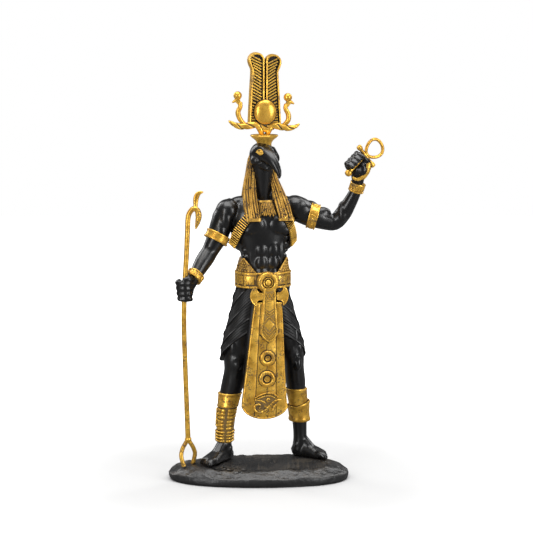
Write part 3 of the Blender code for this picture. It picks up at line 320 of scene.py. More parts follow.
    def hoop(self, points: Sequence[Vector], normal: Vector, half_width: float, half_depth: float,
             sides: int = 10, power: float = 2.0, wash_and_shade: float = 0.0) -> None:
        """A closed raised line through places in metres, with its half sizes in millimetres."""
        stations = []
        for index, place in enumerate(points):
            ahead = points[(index + 1) % len(points)] - points[index - 1]
            wide = ahead.normalized().cross(normal).normalized()
            stations.append(Station(place, wide * half_width * MM, normal * half_depth * MM))
        self.skin(stations, sides, power, None, True, wash_and_shade)

    def bar(self, start: Row, end: Row, half_width: float, half_depth: float,
            across: Row = FRONT_TO_BACK, power: float = 4.0, sides: int = 12, wash_and_shade: float = 0.0) -> None:
        """A straight stroke with softened corners: the half depth lies along the across direction."""
        rows = [(*start, half_depth, half_width), (*end, half_depth, half_width)]
        self.skin(stations_along(rows, across, 1), sides, power, None, False, wash_and_shade)

    def fused(self, voxel: float, smoothing: int) -> bpy.types.Mesh:
        """One skin round all the shapes.

        Args:
            voxel: the skin's grain in millimetres.
            smoothing: rounds of smoothing.

        Returns:
            The mesh of the skin.
        """
        raw = bpy.data.meshes.new("raw clay")
        self.mesh.to_mesh(raw)
        self.mesh.free()
        passing = bpy.data.objects.new("raw clay", raw)
        bpy.context.scene.collection.objects.link(passing)
        remesh = passing.modifiers.new("one skin", "REMESH")
        remesh.mode = "VOXEL"
        remesh.voxel_size = voxel * MM
        soften = passing.modifiers.new("soften", "SMOOTH")
        soften.iterations = smoothing
        soften.factor = 0.5
        worked = passing.evaluated_get(bpy.context.evaluated_depsgraph_get())
        result = bpy.data.meshes.new_from_object(worked)
        bpy.data.objects.remove(passing)
        bpy.data.meshes.remove(raw)
        return result

    def crisp(self) -> bpy.types.Mesh:
        """The shapes as they are, in one mesh."""
        result = bpy.data.meshes.new("crisp clay")
        self.mesh.to_mesh(result)
        self.mesh.free()
        return result


class Nodes:
    """Short ways to add nodes to a tree and join them."""

    def __init__(self, tree: bpy.types.NodeTree) -> None:
        """Keeps the tree."""
        self.tree = tree

    def add(self, kind: str, values: Mapping[str | int, object] | None = None,
            **settings: object) -> bpy.types.Node:
        """Adds a node.

        Args:
            kind: the node's type.
            values: its inputs by name or number, each a value or the socket that feeds it.
            settings: the node's own properties.

        Returns:
            The new node.
        """
        node = self.tree.nodes.new(kind)
        for name, value in settings.items():
            setattr(node, name, value)
        for name, value in (values or {}).items():
            if isinstance(value, bpy.types.NodeSocket):
                self.tree.links.new(value, node.inputs[name])
            else:
                node.inputs[name].default_value = value
        return node

    def join(self, source: bpy.types.NodeSocket, target: bpy.types.NodeSocket) -> None:
        """Feeds one socket from another."""
        self.tree.links.new(source, target)

    def place(self) -> bpy.types.NodeSocket:
        """Where on the object the surface lies, in metres."""
        return self.add("ShaderNodeTexCoord").outputs["Object"]

    def maths(self, operation: str, first: object, second: object = 0.0,
              clamp: bool = False) -> bpy.types.NodeSocket:
        """The result of a Math node."""
        node = self.add("ShaderNodeMath", {0: first, 1: second}, operation=operation, use_clamp=clamp)
        return node.outputs[0]

    def spread(self, value: object, low: float, high: float) -> bpy.types.NodeSocket:
        """Maps a value from low..high to 0..1, softly."""
        node = self.add("ShaderNodeMapRange", {"Value": value, "From Min": low, "From Max": high},
                        interpolation_type="SMOOTHSTEP")
        return node.outputs["Result"]

    def mixed(self, share: object, first: object, second: object) -> bpy.types.NodeSocket:
        """A mix of two colours."""
        node = self.add("ShaderNodeMix", {"Factor": share}, data_type="RGBA")
        for index, value in ((6, first), (7, second)):
            if isinstance(value, bpy.types.NodeSocket):
                self.tree.links.new(value, node.inputs[index])
            else:
                node.inputs[index].default_value = value
        return node.outputs[2]

    def noise(self, coordinates: bpy.types.NodeSocket, scale: float, detail: float = 3.0,
              roughness: float = 0.55) -> bpy.types.NodeSocket:
        """The height of a noise of this many features to the metre."""
        node = self.add("ShaderNodeTexNoise", {"Vector": coordinates, "Scale": scale, "Detail": detail,
                                               "Roughness": roughness})
        return node.outputs[0]


def shader_group(name: str, inputs: Mapping[str, object], outputs: Mapping[str, str]) -> tuple[
        bpy.types.NodeTree, bpy.types.Node, bpy.types.Node]:
    """An empty node group.

    Args:
        name: the group's name.
        inputs: default values by input name, a tuple for a colour.
        outputs: socket types by output name.

    Returns:
        The tree, its input node and its output node.
    """
    tree = bpy.data.node_groups.new(name, "ShaderNodeTree")
    for label, value in inputs.items():
        kind = "NodeSocketColor" if isinstance(value, tuple) else "NodeSocketFloat"
        tree.interface.new_socket(name=label, in_out="INPUT", socket_type=kind).default_value = value
    for label, kind in outputs.items():
        tree.interface.new_socket(name=label, in_out="OUTPUT", socket_type=kind)
    return tree, tree.nodes.new("NodeGroupInput"), tree.nodes.new("NodeGroupOutput")


def wash_and_shade_group() -> bpy.types.NodeTree:
    """Dark paint mask: real specks, antique brown in hollows that is partly painted shade, and painted
    shade where the mesh is marked.
    """
    inputs = {"Reach": 0.0016, "Hollow": 1.0, "Speckle": 0.5, "Pit Size": 900.0}
    tree, given, result = shader_group("dark wash", inputs, {"Mask": "NodeSocketFloat"})
    nodes = Nodes(tree)
    place = nodes.place()
    # Occlusion darkens hollows and joins between pieces: partly real antique brown, partly painted shade.
    shade = nodes.add("ShaderNodeAmbientOcclusion", {"Distance": given.outputs["Reach"]}, samples=8)
    hollow = nodes.spread(nodes.maths("SUBTRACT", 1.0, shade.outputs["AO"]), 0.20, 0.60)
    hollow = nodes.maths("MULTIPLY", hollow, given.outputs["Hollow"])
    pits = nodes.add("ShaderNodeTexNoise",
                     {"Vector": place, "Scale": given.outputs["Pit Size"], "Detail": 4.0,
                                            "Roughness": 0.65}).outputs[0]
    clusters = nodes.noise(place, 130.0, 2.0)
    gathered = nodes.maths("MULTIPLY", nodes.maths("SUBTRACT", clusters, 0.5), 0.55)
    dots = nodes.maths("ADD", pits, gathered)
    dots = nodes.maths("MULTIPLY", nodes.spread(dots, 0.55, 0.64), given.outputs["Speckle"])
    # Marked share: mostly painted shade in gaps, with a few real dark eyes and pupils.
    marked = nodes.add("ShaderNodeAttribute", attribute_name="wash_and_shade").outputs["Fac"]
    mask = nodes.maths("MAXIMUM", nodes.maths("MAXIMUM", hollow, dots), marked)
    tree.links.new(nodes.maths("MINIMUM", mask, 1.0), result.inputs["Mask"])
    return tree


def rubbed_edge_group() -> bpy.types.NodeTree:
    """Mask of raised edges, where paint is rubbed thin or bright."""
    tree, given, result = shader_group("rubbed edge", {"Low": 0.52, "High": 0.62},
                                       {"Mask": "NodeSocketFloat"})
    nodes = Nodes(tree)
    point = nodes.add("ShaderNodeNewGeometry").outputs["Pointiness"]
    node = nodes.add("ShaderNodeMapRange", {"Value": point, "From Min": given.outputs["Low"],
                                            "From Max": given.outputs["High"]},
                     interpolation_type="SMOOTHSTEP")
    tree.links.new(node.outputs["Result"], result.inputs["Mask"])
    return tree


def cast_grain_group() -> bpy.types.NodeTree:
    """Height of the fine unevenness that a cast and brushed surface keeps."""
    inputs = {"Fine": 2200.0, "Broad": 260.0}
    tree, given, result = shader_group("cast grain", inputs, {"Height": "NodeSocketFloat"})
    nodes = Nodes(tree)
    place = nodes.place()
    fine, broad = [
        nodes.add("ShaderNodeTexNoise",
                  {"Vector": place, "Scale": given.outputs[name], "Detail": detail})
        for name, detail in (("Fine", 2.0), ("Broad", 3.0))]
    height = nodes.maths("ADD", nodes.maths("MULTIPLY", fine.outputs[0], 0.25), broad.outputs[0])
    tree.links.new(height, result.inputs["Height"])
    return tree


@dataclass(frozen=True)
class Groups:
    """The effects that the finishes share."""

    wash_and_shade: bpy.types.NodeTree
    edge: bpy.types.NodeTree
    grain: bpy.types.NodeTree

    @staticmethod
    def build() -> "Groups":
        """Makes each effect once."""
        return Groups(wash_and_shade_group(), rubbed_edge_group(), cast_grain_group())


def grouped(nodes: Nodes, tree: bpy.types.NodeTree, values: Mapping[str, object]) -> bpy.types.Node:
    """Places a node group with its values."""
    node = nodes.add("ShaderNodeGroup", node_tree=tree)
    for name, value in values.items():
        node.inputs[name].default_value = value
    return node


def blank_material(name: str) -> tuple[bpy.types.Material, Nodes, Mapping[str, bpy.types.NodeSocket]]:
    """A new material, its nodes and the inputs of its shader."""
    material = bpy.data.materials.new(name)
    material.use_nodes = True
    return material, Nodes(material.node_tree), material.node_tree.nodes["Principled BSDF"].inputs


def cast_bump(nodes: Nodes, groups: Groups, grains: tuple[float, float], strength: float,
              distance: float) -> bpy.types.NodeSocket:
    """A normal that carries the cast grain, from its fine and broad scales."""
    height = grouped(nodes, groups.grain, {"Fine": grains[0], "Broad": grains[1]}).outputs["Height"]
    bump = nodes.add("ShaderNodeBump", {"Height": height, "Strength": strength, "Distance": distance})
    return bump.outputs["Normal"]


@dataclass(frozen=True)
class GoldPaint:
    """Antique gold paint with dark brown in its hollows that is partly painted shade, and painted shade
    on marked gaps.
    """

    name: str = "antique_gold_paint"
    bright: Colour = (0.86, 0.51, 0.078)
    deep: Colour = (0.40, 0.195, 0.020)
    # The dark colour: real antique brown, and painted shade in hollows and marked gaps.
    wash_and_shade: Colour = (0.012, 0.006, 0.003)
    roughness: float = 0.33
    metallic: float = 0.75
    speckle: float = 0.85
    hollow: float = 1.0
    reach: float = 0.0019
    grain: float = 0.16

    def build(self, groups: Groups) -> bpy.types.Material:
        """Makes the material."""
        material, nodes, shader = blank_material(self.name)
        place = nodes.place()
        dark = grouped(nodes, groups.wash_and_shade, {"Reach": self.reach, "Hollow": self.hollow,
                                            "Speckle": self.speckle}).outputs["Mask"]
        edge = grouped(nodes, groups.edge, {"Low": 0.51, "High": 0.60}).outputs["Mask"]
        patches = nodes.spread(nodes.noise(place, 170.0, 4.0), 0.25, 0.72)
        patches = nodes.maths("MAXIMUM", patches, nodes.maths("MULTIPLY", edge, 0.8))
        gold = nodes.mixed(patches, (*self.deep, 1.0), (*self.bright, 1.0))
        # Dark mask: antique brown and specks, and painted shade in hollows, joins and marked gaps.
        nodes.join(nodes.mixed(dark, gold, (*self.wash_and_shade, 1.0)), shader["Base Color"])
        keep = nodes.maths("SUBTRACT", 1.0, nodes.maths("MULTIPLY", dark, 0.95))
        nodes.join(nodes.maths("MULTIPLY", keep, self.metallic), shader["Metallic"])
        wear = nodes.maths("MULTIPLY", nodes.noise(place, 420.0, 3.0), 0.16)
        rough = nodes.maths("ADD", nodes.maths("ADD", wear, self.roughness - 0.08),
                            nodes.maths("MULTIPLY", dark, 0.2))
        nodes.join(rough, shader["Roughness"])
        nodes.join(cast_bump(nodes, groups, (2400.0, 420.0), self.grain, 0.0006), shader["Normal"])
        return material


@dataclass(frozen=True)
class BlackPaint:
    """Satin black paint over resin, with faint brown dust in the hollows."""

    name: str = "satin_black_paint"
    colour: Colour = (0.0026, 0.0026, 0.0029)
    dust: Colour = (0.0070, 0.0052, 0.0036)
    roughness: float = 0.31
    coat: float = 0.10
    bump: float = 0.08

    def build(self, groups: Groups) -> bpy.types.Material:
        """Makes the material."""
        material, nodes, shader = blank_material(self.name)
        place = nodes.place()
        dark = grouped(nodes, groups.wash_and_shade, {"Reach": 0.0022, "Hollow": 0.5, "Speckle": 0.3,
                                            "Pit Size": 1300.0}).outputs["Mask"]
        nodes.join(nodes.mixed(dark, (*self.colour, 1.0), (*self.dust, 1.0)), shader["Base Color"])
        smears = nodes.maths("MULTIPLY", nodes.noise(place, 160.0, 4.0), 0.18)
        rough = nodes.maths("ADD", nodes.maths("ADD", smears, self.roughness - 0.09),
                            nodes.maths("MULTIPLY", dark, 0.18))
        nodes.join(rough, shader["Roughness"])
        shader["Coat Weight"].default_value = self.coat
        shader["Coat Roughness"].default_value = 0.22
        nodes.join(cast_bump(nodes, groups, (2600.0, 300.0), self.bump, 0.0006), shader["Normal"])
        return material


@dataclass(frozen=True)
class RockPaint:
    """Black rock with bronze brown brushed over its high places."""

    name: str = "brushed_black_rock"
    colour: Colour = (0.0075, 0.0072, 0.0074)
    brushed: Colour = (0.040, 0.033, 0.025)

    def build(self, groups: Groups) -> bpy.types.Material:
        """Makes the material."""
        material, nodes, shader = blank_material(self.name)
        place = nodes.place()
        edge = grouped(nodes, groups.edge, {"Low": 0.50, "High": 0.62}).outputs["Mask"]
        patches = nodes.spread(nodes.noise(place, 70.0, 5.0), 0.46, 0.70)
        up = nodes.add("ShaderNodeSeparateXYZ",
                       {0: nodes.add("ShaderNodeNewGeometry").outputs["Normal"]})
        lying = nodes.spread(up.outputs["Z"], 0.3, 0.9)
        worn = nodes.maths("ADD", edge, nodes.maths("MULTIPLY", patches, 0.7))
        share = nodes.maths("MULTIPLY", worn, lying, clamp=True)
        nodes.join(nodes.mixed(share, (*self.colour, 1.0), (*self.brushed, 1.0)), shader["Base Color"])
        rough = nodes.maths("ADD", nodes.maths("MULTIPLY", nodes.noise(place, 300.0, 4.0), 0.3), 0.26)
        nodes.join(rough, shader["Roughness"])
        shader["Coat Weight"].default_value = 0.15
        shader["Coat Roughness"].default_value = 0.3
        nodes.join(cast_bump(nodes, groups, (1500.0, 240.0), 0.55, 0.0012), shader["Normal"])
        return material


class Finish(Enum):
    """The finishes that pieces are dressed in."""

    GOLD = "gold"
    SMOOTH_GOLD = "smooth gold"
    DULL_GOLD = "dull gold"
    BLACK = "black"
    CLOTH = "black cloth"
    ROCK = "rock"


class Slot(Enum):
    """The material slots of the part's record."""

    BLACK_RESIN = "black_resin"
    GOLD_PAINT = "gold_paint"


class Workshop:
    """Makes finished pieces: dressed, riding on the root body and logged."""

    def __init__(self) -> None:
        """Mixes the finishes."""
        groups = Groups.build()
        self.finishes = {
            Finish.GOLD: GoldPaint().build(groups),
            Finish.SMOOTH_GOLD: GoldPaint(name="smooth_gold_paint", deep=(0.52, 0.27, 0.035),
                                          roughness=0.30, speckle=0.2, grain=0.07).build(groups),
            Finish.DULL_GOLD: GoldPaint(name="dull_gold_paint", bright=(0.62, 0.36, 0.070),
                                        deep=(0.24, 0.11, 0.014), roughness=0.42, speckle=1.0,
                                        reach=0.0026).build(groups),
            Finish.BLACK: BlackPaint().build(groups),
            Finish.CLOTH: BlackPaint(name="dull_black_paint", roughness=0.50, coat=0.0).build(groups),
            Finish.ROCK: RockPaint().build(groups),
        }

    def piece(self, name: str, mesh: bpy.types.Mesh, finish: Finish,
              replaces: Sequence[str] = (), sharp: float = 40.0) -> bpy.types.Object:
        """Makes one finished piece.

        Args:
            name: the piece's name.
            mesh: its mesh, in the part's frame.
            finish: what it is dressed in.
            replaces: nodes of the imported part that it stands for.
            sharp: the angle in degrees from which an edge stays sharp.

        Returns:
            The piece's object.
        """
        mesh.name = name
        mesh.materials.clear()
        mesh.materials.append(self.finishes[finish])
        mesh.shade_smooth()
        if sharp < 180.0:
            mesh.set_sharp_from_angle(angle=math.radians(sharp))
        thing = bpy.data.objects.new(name, mesh)
        bpy.context.scene.collection.objects.link(thing)
        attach(thing, "root")
        if replaces:
            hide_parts(*replaces)
        mesh.calc_loop_triangles()
        LOG.info("%s: %d triangles", name, len(mesh.loop_triangles))
        return thing


TORSO_ROWS: tuple[Row, ...] = (
    (4.5, 1.0, 118.0, 17.0, 12.5),
    (4.5, 0.5, 132.0, 18.6, 13.6),
    (4.5, 0.0, 142.0, 18.2, 13.0),
    (4.4, -0.5, 150.0, 16.0, 11.8),
    (4.2, -0.8, 158.0, 15.3, 11.4),
    (3.9, -0.5, 167.0, 17.8, 12.6),
    (3.5, 0.0, 176.0, 20.6, 13.6),
    (3.3, 0.5, 185.0, 21.6, 13.8),
    (3.2, 1.5, 192.0, 19.0, 12.0),
    (3.4, 2.0, 198.0, 12.0, 9.0),
    (3.6, 1.0, 204.0, 7.5, 7.5),
)
TORSO_POWER = 2.3

LEG_RIGHT: tuple[Row, ...] = (
    (-4.6, 0.0, 128.0, 10.4, 11.0),
    (-8.6, -1.0, 112.0, 10.4, 11.4),
    (-12.6, -2.0, 98.0, 10.0, 11.0),
    (-15.0, -3.2, 89.0, 8.8, 9.6),
    (-16.2, -4.0, 83.5, 8.0, 8.6),
    (-16.4, -3.2, 77.0, 7.4, 7.8),
    (-16.8, -1.6, 69.0, 8.1, 8.6),
    (-19.2, -0.4, 60.0, 7.3, 7.9),
    (-20.8, 0.6, 50.0, 6.3, 6.9),
    (-22.2, 1.6, 38.0, 5.4, 6.0),
    (-22.8, 2.2, 28.0, 5.0, 5.6),
    (-22.6, 2.6, 21.0, 5.0, 5.8),
    (-21.4, 3.2, 15.0, 5.0, 5.6),
)
LEG_LEFT: tuple[Row, ...] = (
    (12.8, 0.0, 128.0, 10.2, 11.0),
    (17.0, -0.5, 112.0, 10.4, 11.4),
    (21.6, -1.5, 98.0, 10.0, 11.0),
    (24.8, -2.5, 89.0, 8.6, 9.4),
    (26.2, -3.0, 83.5, 7.4, 8.4),
    (26.8, -2.2, 77.0, 6.9, 7.6),
    (27.8, -0.4, 69.0, 7.1, 8.2),
    (29.0, 1.2, 60.0, 6.7, 7.7),
    (30.6, 2.6, 50.0, 6.0, 6.8),
    (31.8, 4.0, 38.0, 5.3, 6.0),
    (32.4, 4.8, 28.0, 4.8, 5.6),
    (32.4, 5.0, 21.0, 4.9, 5.8),
    (31.4, 5.2, 15.0, 5.0, 5.6),
)

STAFF_GRIP = (-53.6, -16.4, 136.6)
ANKH_KNOB = Vector((60.6, -24.0, 217.0))
ANKH_CROSS = Vector((73.6, -20.0, 228.8))
ANKH_ALONG = (ANKH_CROSS - ANKH_KNOB).normalized()


def ring_point(row: Row, angle: float, proud: float, power: float) -> Vector:
    """A place on the oval of a body row at an angle in degrees, stood proud by so many millimetres."""
    c, s = rounded(math.radians(angle), power)
    return spot(row[0] + c * (row[3] + proud), row[1] + s * (row[4] + proud), row[2])


def outwards(angle: float, power: float) -> Vector:
    """The direction in which the oval of a body row stands proud at an angle in degrees."""
    c, s = rounded(math.radians(angle), power)
    return heading(c, s, 0.0)


def upright(height: float) -> Vector:
    """A lift of so many millimetres."""
    return Vector((0.0, 0.0, height * MM))


@dataclass
class Flesh:
    """The black body: trunk, head, arms, hands, legs and feet in one skin."""

    voxel: float = 0.68
    smoothing: int = 4
    finger_size: float = 2.3
    belly_width: float = 4.3

    def build(self, shop: Workshop) -> bpy.types.Object:
        """Makes the body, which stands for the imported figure."""
        clay = Clay()
        self.trunk(clay)
        self.head(clay)
        self.arms(clay)
        self.right_hand(clay)
        self.left_hand(clay)
        self.legs(clay)
        return shop.piece("body", clay.fused(self.voxel, self.smoothing), Finish.BLACK,
                          ("figure",), sharp=180.0)

    def trunk(self, clay: Clay) -> None:
        """Trunk with its muscles."""
        clay.limb(TORSO_ROWS, sides=40, power=TORSO_POWER, steps=4)
        for side in (-1.0, 1.0):
            clay.ball((5.6 + side * 9.3, -10.4, 180.6), (8.9, 4.7, 7.2), turn=side * 12.0)
            clay.ball((5.6 + side * 12.6, -9.4, 176.6), (5.4, 4.6, 3.8), turn=side * 20.0)
            clay.ball((5.0 + side * 17.4, 2.5, 174.0), (5.2, 9.0, 13.0))
            clay.ball((4.0 + side * 12.5, 3.5, 195.4), (10.5, 6.0, 4.2))
            for row, height in enumerate((162.8, 153.8, 145.4)):
                clay.ball((5.8 + side * (self.belly_width - 0.15 * row), -11.1 + 0.1 * row, height),
                          (4.3, 2.9, 5.4))
            clay.limb([(5.4 + side * 10.8, -8.7, 168.6, 1.9, 1.5),
                       (5.3 + side * 10.4, -8.9, 161.0, 2.3, 1.8),
                       (5.1 + side * 9.8, -8.5, 153.0, 2.2, 1.7),
                       (4.9 + side * 9.2, -8.0, 146.0, 1.6, 1.4)],
                      sides=16)
            for row in range(4):
                clay.ball((4.8 + side * (15.0 - 0.7 * row), -5.6, 170.5 - 4.4 * row), (3.2, 3.4, 1.9),
                          turn=side * 38.0, tilt=-14.0)
            clay.ball((4.5 + side * 13.0, -3.4, 149.6), (4.0, 7.0, 6.4))
            clay.limb([(5.8 + side * 2.5, -8.2, 189.6, 1.3, 1.3),
                       (5.4 + side * 10.0, -6.6, 192.4, 1.5, 1.6),
                       (5.0 + side * 17.5, -4.0, 193.4, 1.4, 1.8)], sides=12)
            clay.ball((3.8 + side * 8.0, 9.6, 184.0), (8.0, 5.0, 10.0), turn=-side * 8.0)
            clay.ball((4.0 + side * 5.2, 9.8, 160.0), (4.2, 3.4, 13.0))

    def head(self, clay: Clay) -> None:
        """Neck, skull, brows, jaw and the long beak."""
        clay.limb([
            (3.8, 0.5, 194.0, 7.6, 7.6),
            (3.9, -1.8, 202.0, 6.1, 6.8),
            (3.9, -3.4, 211.0, 6.5, 7.2),
            (3.6, -4.4, 219.0, 7.4, 8.0),
            (3.2, -4.6, 227.0, 7.8, 8.6),
        ], sides=40, steps=4)
        clay.ball((3.0, -3.6, 228.6), (8.3, 10.0, 9.0), turn=16.0, segments=40)
        clay.ball((3.3, -4.6, 233.2), (6.6, 7.4, 4.4), turn=16.0, segments=40)
        beak = [
            (3.4, -7.0, 230.0, 6.8, 6.2),
            (5.4, -14.0, 229.0, 5.6, 5.4),
            (7.6, -19.6, 226.0, 4.1, 4.4),
            (9.4, -23.2, 222.4, 2.9, 3.2),
            (10.7, -25.2, 219.2, 2.2, 2.4),
            (11.4, -26.3, 216.3, 1.4, 1.7),
            (11.1, -26.7, 213.8, 0.6, 0.8),
        ]
        clay.limb(beak, sides=32, steps=6)
        clay.limb([(5.4, -14.6, 233.6, 0.5, 0.8), (7.4, -18.0, 231.2, 0.8, 1.0),
                   (9.6, -21.4, 227.8, 0.8, 1.0), (11.3, -24.4, 223.8, 0.8, 0.9),
                   (12.3, -26.2, 219.4, 0.6, 0.8), (12.1, -27.0, 216.4, 0.4, 0.5)],
                  sides=12, steps=4)
        clay.limb([(2.8, -7.0, 222.6, 5.6, 3.6), (4.6, -12.6, 221.8, 4.4, 2.8),
                   (6.6, -17.0, 219.8, 2.8, 2.0)],
                  sides=24)
        clay.limb([(-0.6, -12.4, 224.9, 0.5, 0.5), (2.3, -15.2, 226.2, 0.7, 0.7),
                   (6.0, -18.2, 224.2, 0.7, 0.7), (8.0, -20.8, 221.6, 0.7, 0.7),
                   (9.4, -23.0, 218.8, 0.6, 0.6), (10.2, -24.6, 215.8, 0.4, 0.4)],
                  sides=12, steps=4)
        clay.ball((-2.2, -8.4, 225.2), (3.1, 4.4, 3.5), turn=30.0)
        clay.ball((9.4, -10.2, 226.4), (2.6, 4.6, 3.6), turn=-20.0)
        clay.limb([(-4.2, -6.6, 230.6, 0.6, 0.8), (-2.4, -9.8, 233.4, 1.0, 1.1),
                   (0.4, -12.0, 234.6, 1.1, 1.2), (2.8, -13.8, 233.0, 1.0, 1.1),
                   (3.9, -15.0, 230.0, 0.6, 0.8)], sides=12, steps=4)
        clay.limb([(6.4, -13.0, 234.2, 0.8, 0.9), (9.4, -11.8, 234.2, 1.2, 1.2),
                   (11.4, -9.8, 231.6, 1.2, 1.4), (13.4, -8.8, 228.4, 1.1, 1.5),
                   (14.2, -8.2, 226.0, 0.9, 1.3), (14.0, -7.8, 224.0, 0.5, 0.7)],
                  sides=12, steps=4)

    def arms(self, clay: Clay) -> None:
        """Hanging arm on the staff, and raised arm with the ankh."""
        clay.limb([
            (-15.0, 2.0, 193.0, 8.0, 6.5),
            (-21.0, 1.5, 188.5, 9.2, 7.6),
            (-24.6, 1.0, 180.5, 8.6, 7.8),
            (-27.8, 0.0, 171.5, 7.4, 7.3),
            (-31.2, -1.2, 165.4, 6.5, 6.4),
            (-33.6, -2.2, 161.4, 5.9, 5.9),
            (-36.4, -4.0, 157.6, 6.2, 6.1),
            (-39.8, -6.8, 153.4, 6.1, 5.8),
            (-44.4, -11.4, 147.4, 4.9, 4.8),
            (-48.6, -14.6, 142.0, 4.4, 4.4),
            (-51.6, -16.0, 138.6, 4.6, 5.2),
        ], across=FRONT_TO_BACK, sides=32, steps=4)
        clay.ball((-20.4, 0.6, 189.4), (8.4, 9.4, 8.4))
        clay.ball((-22.6, -3.4, 183.6), (5.0, 5.6, 8.6), tilt=8.0)
        clay.ball((-26.6, 1.6, 182.2), (5.0, 6.4, 8.8))
        clay.ball((-26.0, -3.6, 175.6), (4.6, 4.6, 7.4))
        clay.ball((-29.6, 2.2, 173.2), (4.2, 5.0, 7.6))
        clay.ball((-36.0, -3.8, 158.0), (6.1, 5.6, 5.2), tilt=14.0)
        clay.limb([
            (21.0, 2.0, 192.0, 8.5, 6.5),
            (29.0, 1.0, 190.2, 9.4, 8.8),
            (36.0, -0.6, 186.4, 8.6, 8.4),
            (42.5, -2.0, 184.0, 7.9, 7.9),
            (49.0, -3.0, 181.2, 6.6, 6.4),
            (55.6, -4.0, 180.4, 5.7, 5.7),
            (60.6, -6.0, 186.4, 5.7, 5.8),
            (64.2, -8.2, 193.0, 5.2, 5.1),
            (67.6, -10.4, 200.4, 4.5, 4.4),
            (69.6, -12.0, 207.0, 3.9, 3.9),
            (69.6, -14.0, 213.5, 4.2, 4.8),
            (69.0, -15.0, 218.0, 5.0, 5.6),
        ], across=FRONT_TO_BACK, sides=32, steps=4)
        clay.ball((27.4, 0.5, 190.8), (9.2, 9.4, 8.8))
        clay.ball((30.4, -4.6, 189.0), (8.0, 4.6, 6.8), turn=-8.0)
        clay.ball((37.0, 2.0, 191.0), (7.6, 5.4, 4.6), tilt=10.0)
        clay.ball((46.0, -4.2, 187.2), (6.6, 4.2, 4.2))
        clay.ball((45.4, -1.4, 180.4), (7.4, 4.8, 4.2))
        clay.ball((56.4, -1.8, 178.2), (3.2, 3.2, 3.0))
        clay.ball((59.8, -8.6, 188.2), (3.6, 3.6, 7.6), tilt=-12.0)
        clay.ball((63.6, -4.6, 190.0), (3.6, 3.8, 7.6), tilt=-8.0)

    def finger(self, clay: Clay, centre: Vector, axis: Vector, angles: tuple[float, float],
               ring_radius: float, thickness: float, across: Row = RIGHTWARDS) -> None:
        """A finger that bends round an axis in three joints.

        Args:
            clay: what it is added to.
            centre: the middle of its bend, in figure millimetres.
            axis: the direction that it bends round.
            angles: from the knuckle to the tip, in degrees.
            ring_radius: how far its middle runs from the axis.
            thickness: its half thickness at the knuckle.
            across: the direction of angle 0.
        """
        ahead = axis.normalized()
        side = Vector(across)
        wide = (side - ahead * side.dot(ahead)).normalized()
        deep = ahead.cross(wide)
        rows = []
        for index in range(10):
            share = index / 9.0
            angle = math.radians(angles[0] + (angles[1] - angles[0]) * share)
            place = centre + (wide * math.cos(angle) + deep * math.sin(angle)) * ring_radius
            joint = 0.10 * math.cos(3.0 * 2.0 * math.pi * share)
            size = thickness * (1.0 - 0.16 * share + joint * 0.7)
            rows.append((*place, size, size))
        clay.limb(rows, across=tuple(ahead), steps=2, sides=14)

    def right_hand(self, clay: Clay) -> None:
        """The fist round the staff."""
        grip = Vector(STAFF_GRIP)
        clay.ball(tuple(grip + Vector((3.0, 3.2, 0.6))), (4.2, 4.4, 7.0))
        for index in range(4):
            centre = grip + Vector((0.2 * index, 0.0, 5.2 - 3.7 * index))
            self.finger(clay, centre, Vector((0.06, 0.0, 1.0)), (128.0, 338.0), 4.5 - 0.12 * index,
                        self.finger_size - 0.1 * index)
            clay.ball(tuple(centre + Vector((-3.6, -2.4, 0.0))), (2.2, 2.3, 1.7), turn=35.0, segments=16)
            clay.ball(tuple(centre + Vector((1.8, -4.2, 0.0))), (2.2, 1.8, 1.6), turn=-15.0, segments=16)
        clay.limb([
            tuple(grip + Vector((5.2, 1.6, 6.4))) + (2.4, 2.4),
            tuple(grip + Vector((4.4, -2.2, 8.0))) + (2.2, 2.1),
            tuple(grip + Vector((1.6, -4.2, 8.2))) + (2.1, 2.0),
            tuple(grip + Vector((-1.6, -4.2, 7.4))) + (1.7, 1.6),
        ], sides=14)

    def left_hand(self, clay: Clay) -> None:
        """The fist round the ankh, with its palm to the front."""
        middle = (ANKH_KNOB + ANKH_CROSS) * 0.5
        clay.ball(tuple(middle + Vector((1.4, 5.0, -2.4))), (6.2, 4.4, 7.0))
        clay.ball(tuple(middle + Vector((4.0, 1.4, -4.2))), (4.2, 4.4, 5.6))
        for index in range(4):
            place = middle + ANKH_ALONG * (5.1 - 3.5 * index)
            self.finger(clay, place, ANKH_ALONG, (-100.0, 84.0), 4.3, 2.15 - 0.07 * index,
                        (-0.67, 0.0, 0.74))
            knuckle = place + Vector((-3.6, 1.2, 3.9))
            clay.ball(tuple(knuckle), (1.9, 2.2, 1.9), segments=16)
        clay.limb([(73.8, -17.0, 216.0, 2.8, 2.8), (75.6, -19.4, 220.6, 2.4, 2.4),
                   (74.6, -21.4, 224.8, 2.1, 2.0), (71.8, -22.8, 226.4, 1.7, 1.6)], steps=4, sides=14)
        clay.limb([(66.6, -18.8, 214.6, 2.6, 2.6), (68.6, -21.0, 219.4, 3.0, 2.6),
                   (71.6, -21.2, 223.0, 2.4, 2.2)],
                  steps=4, sides=14)

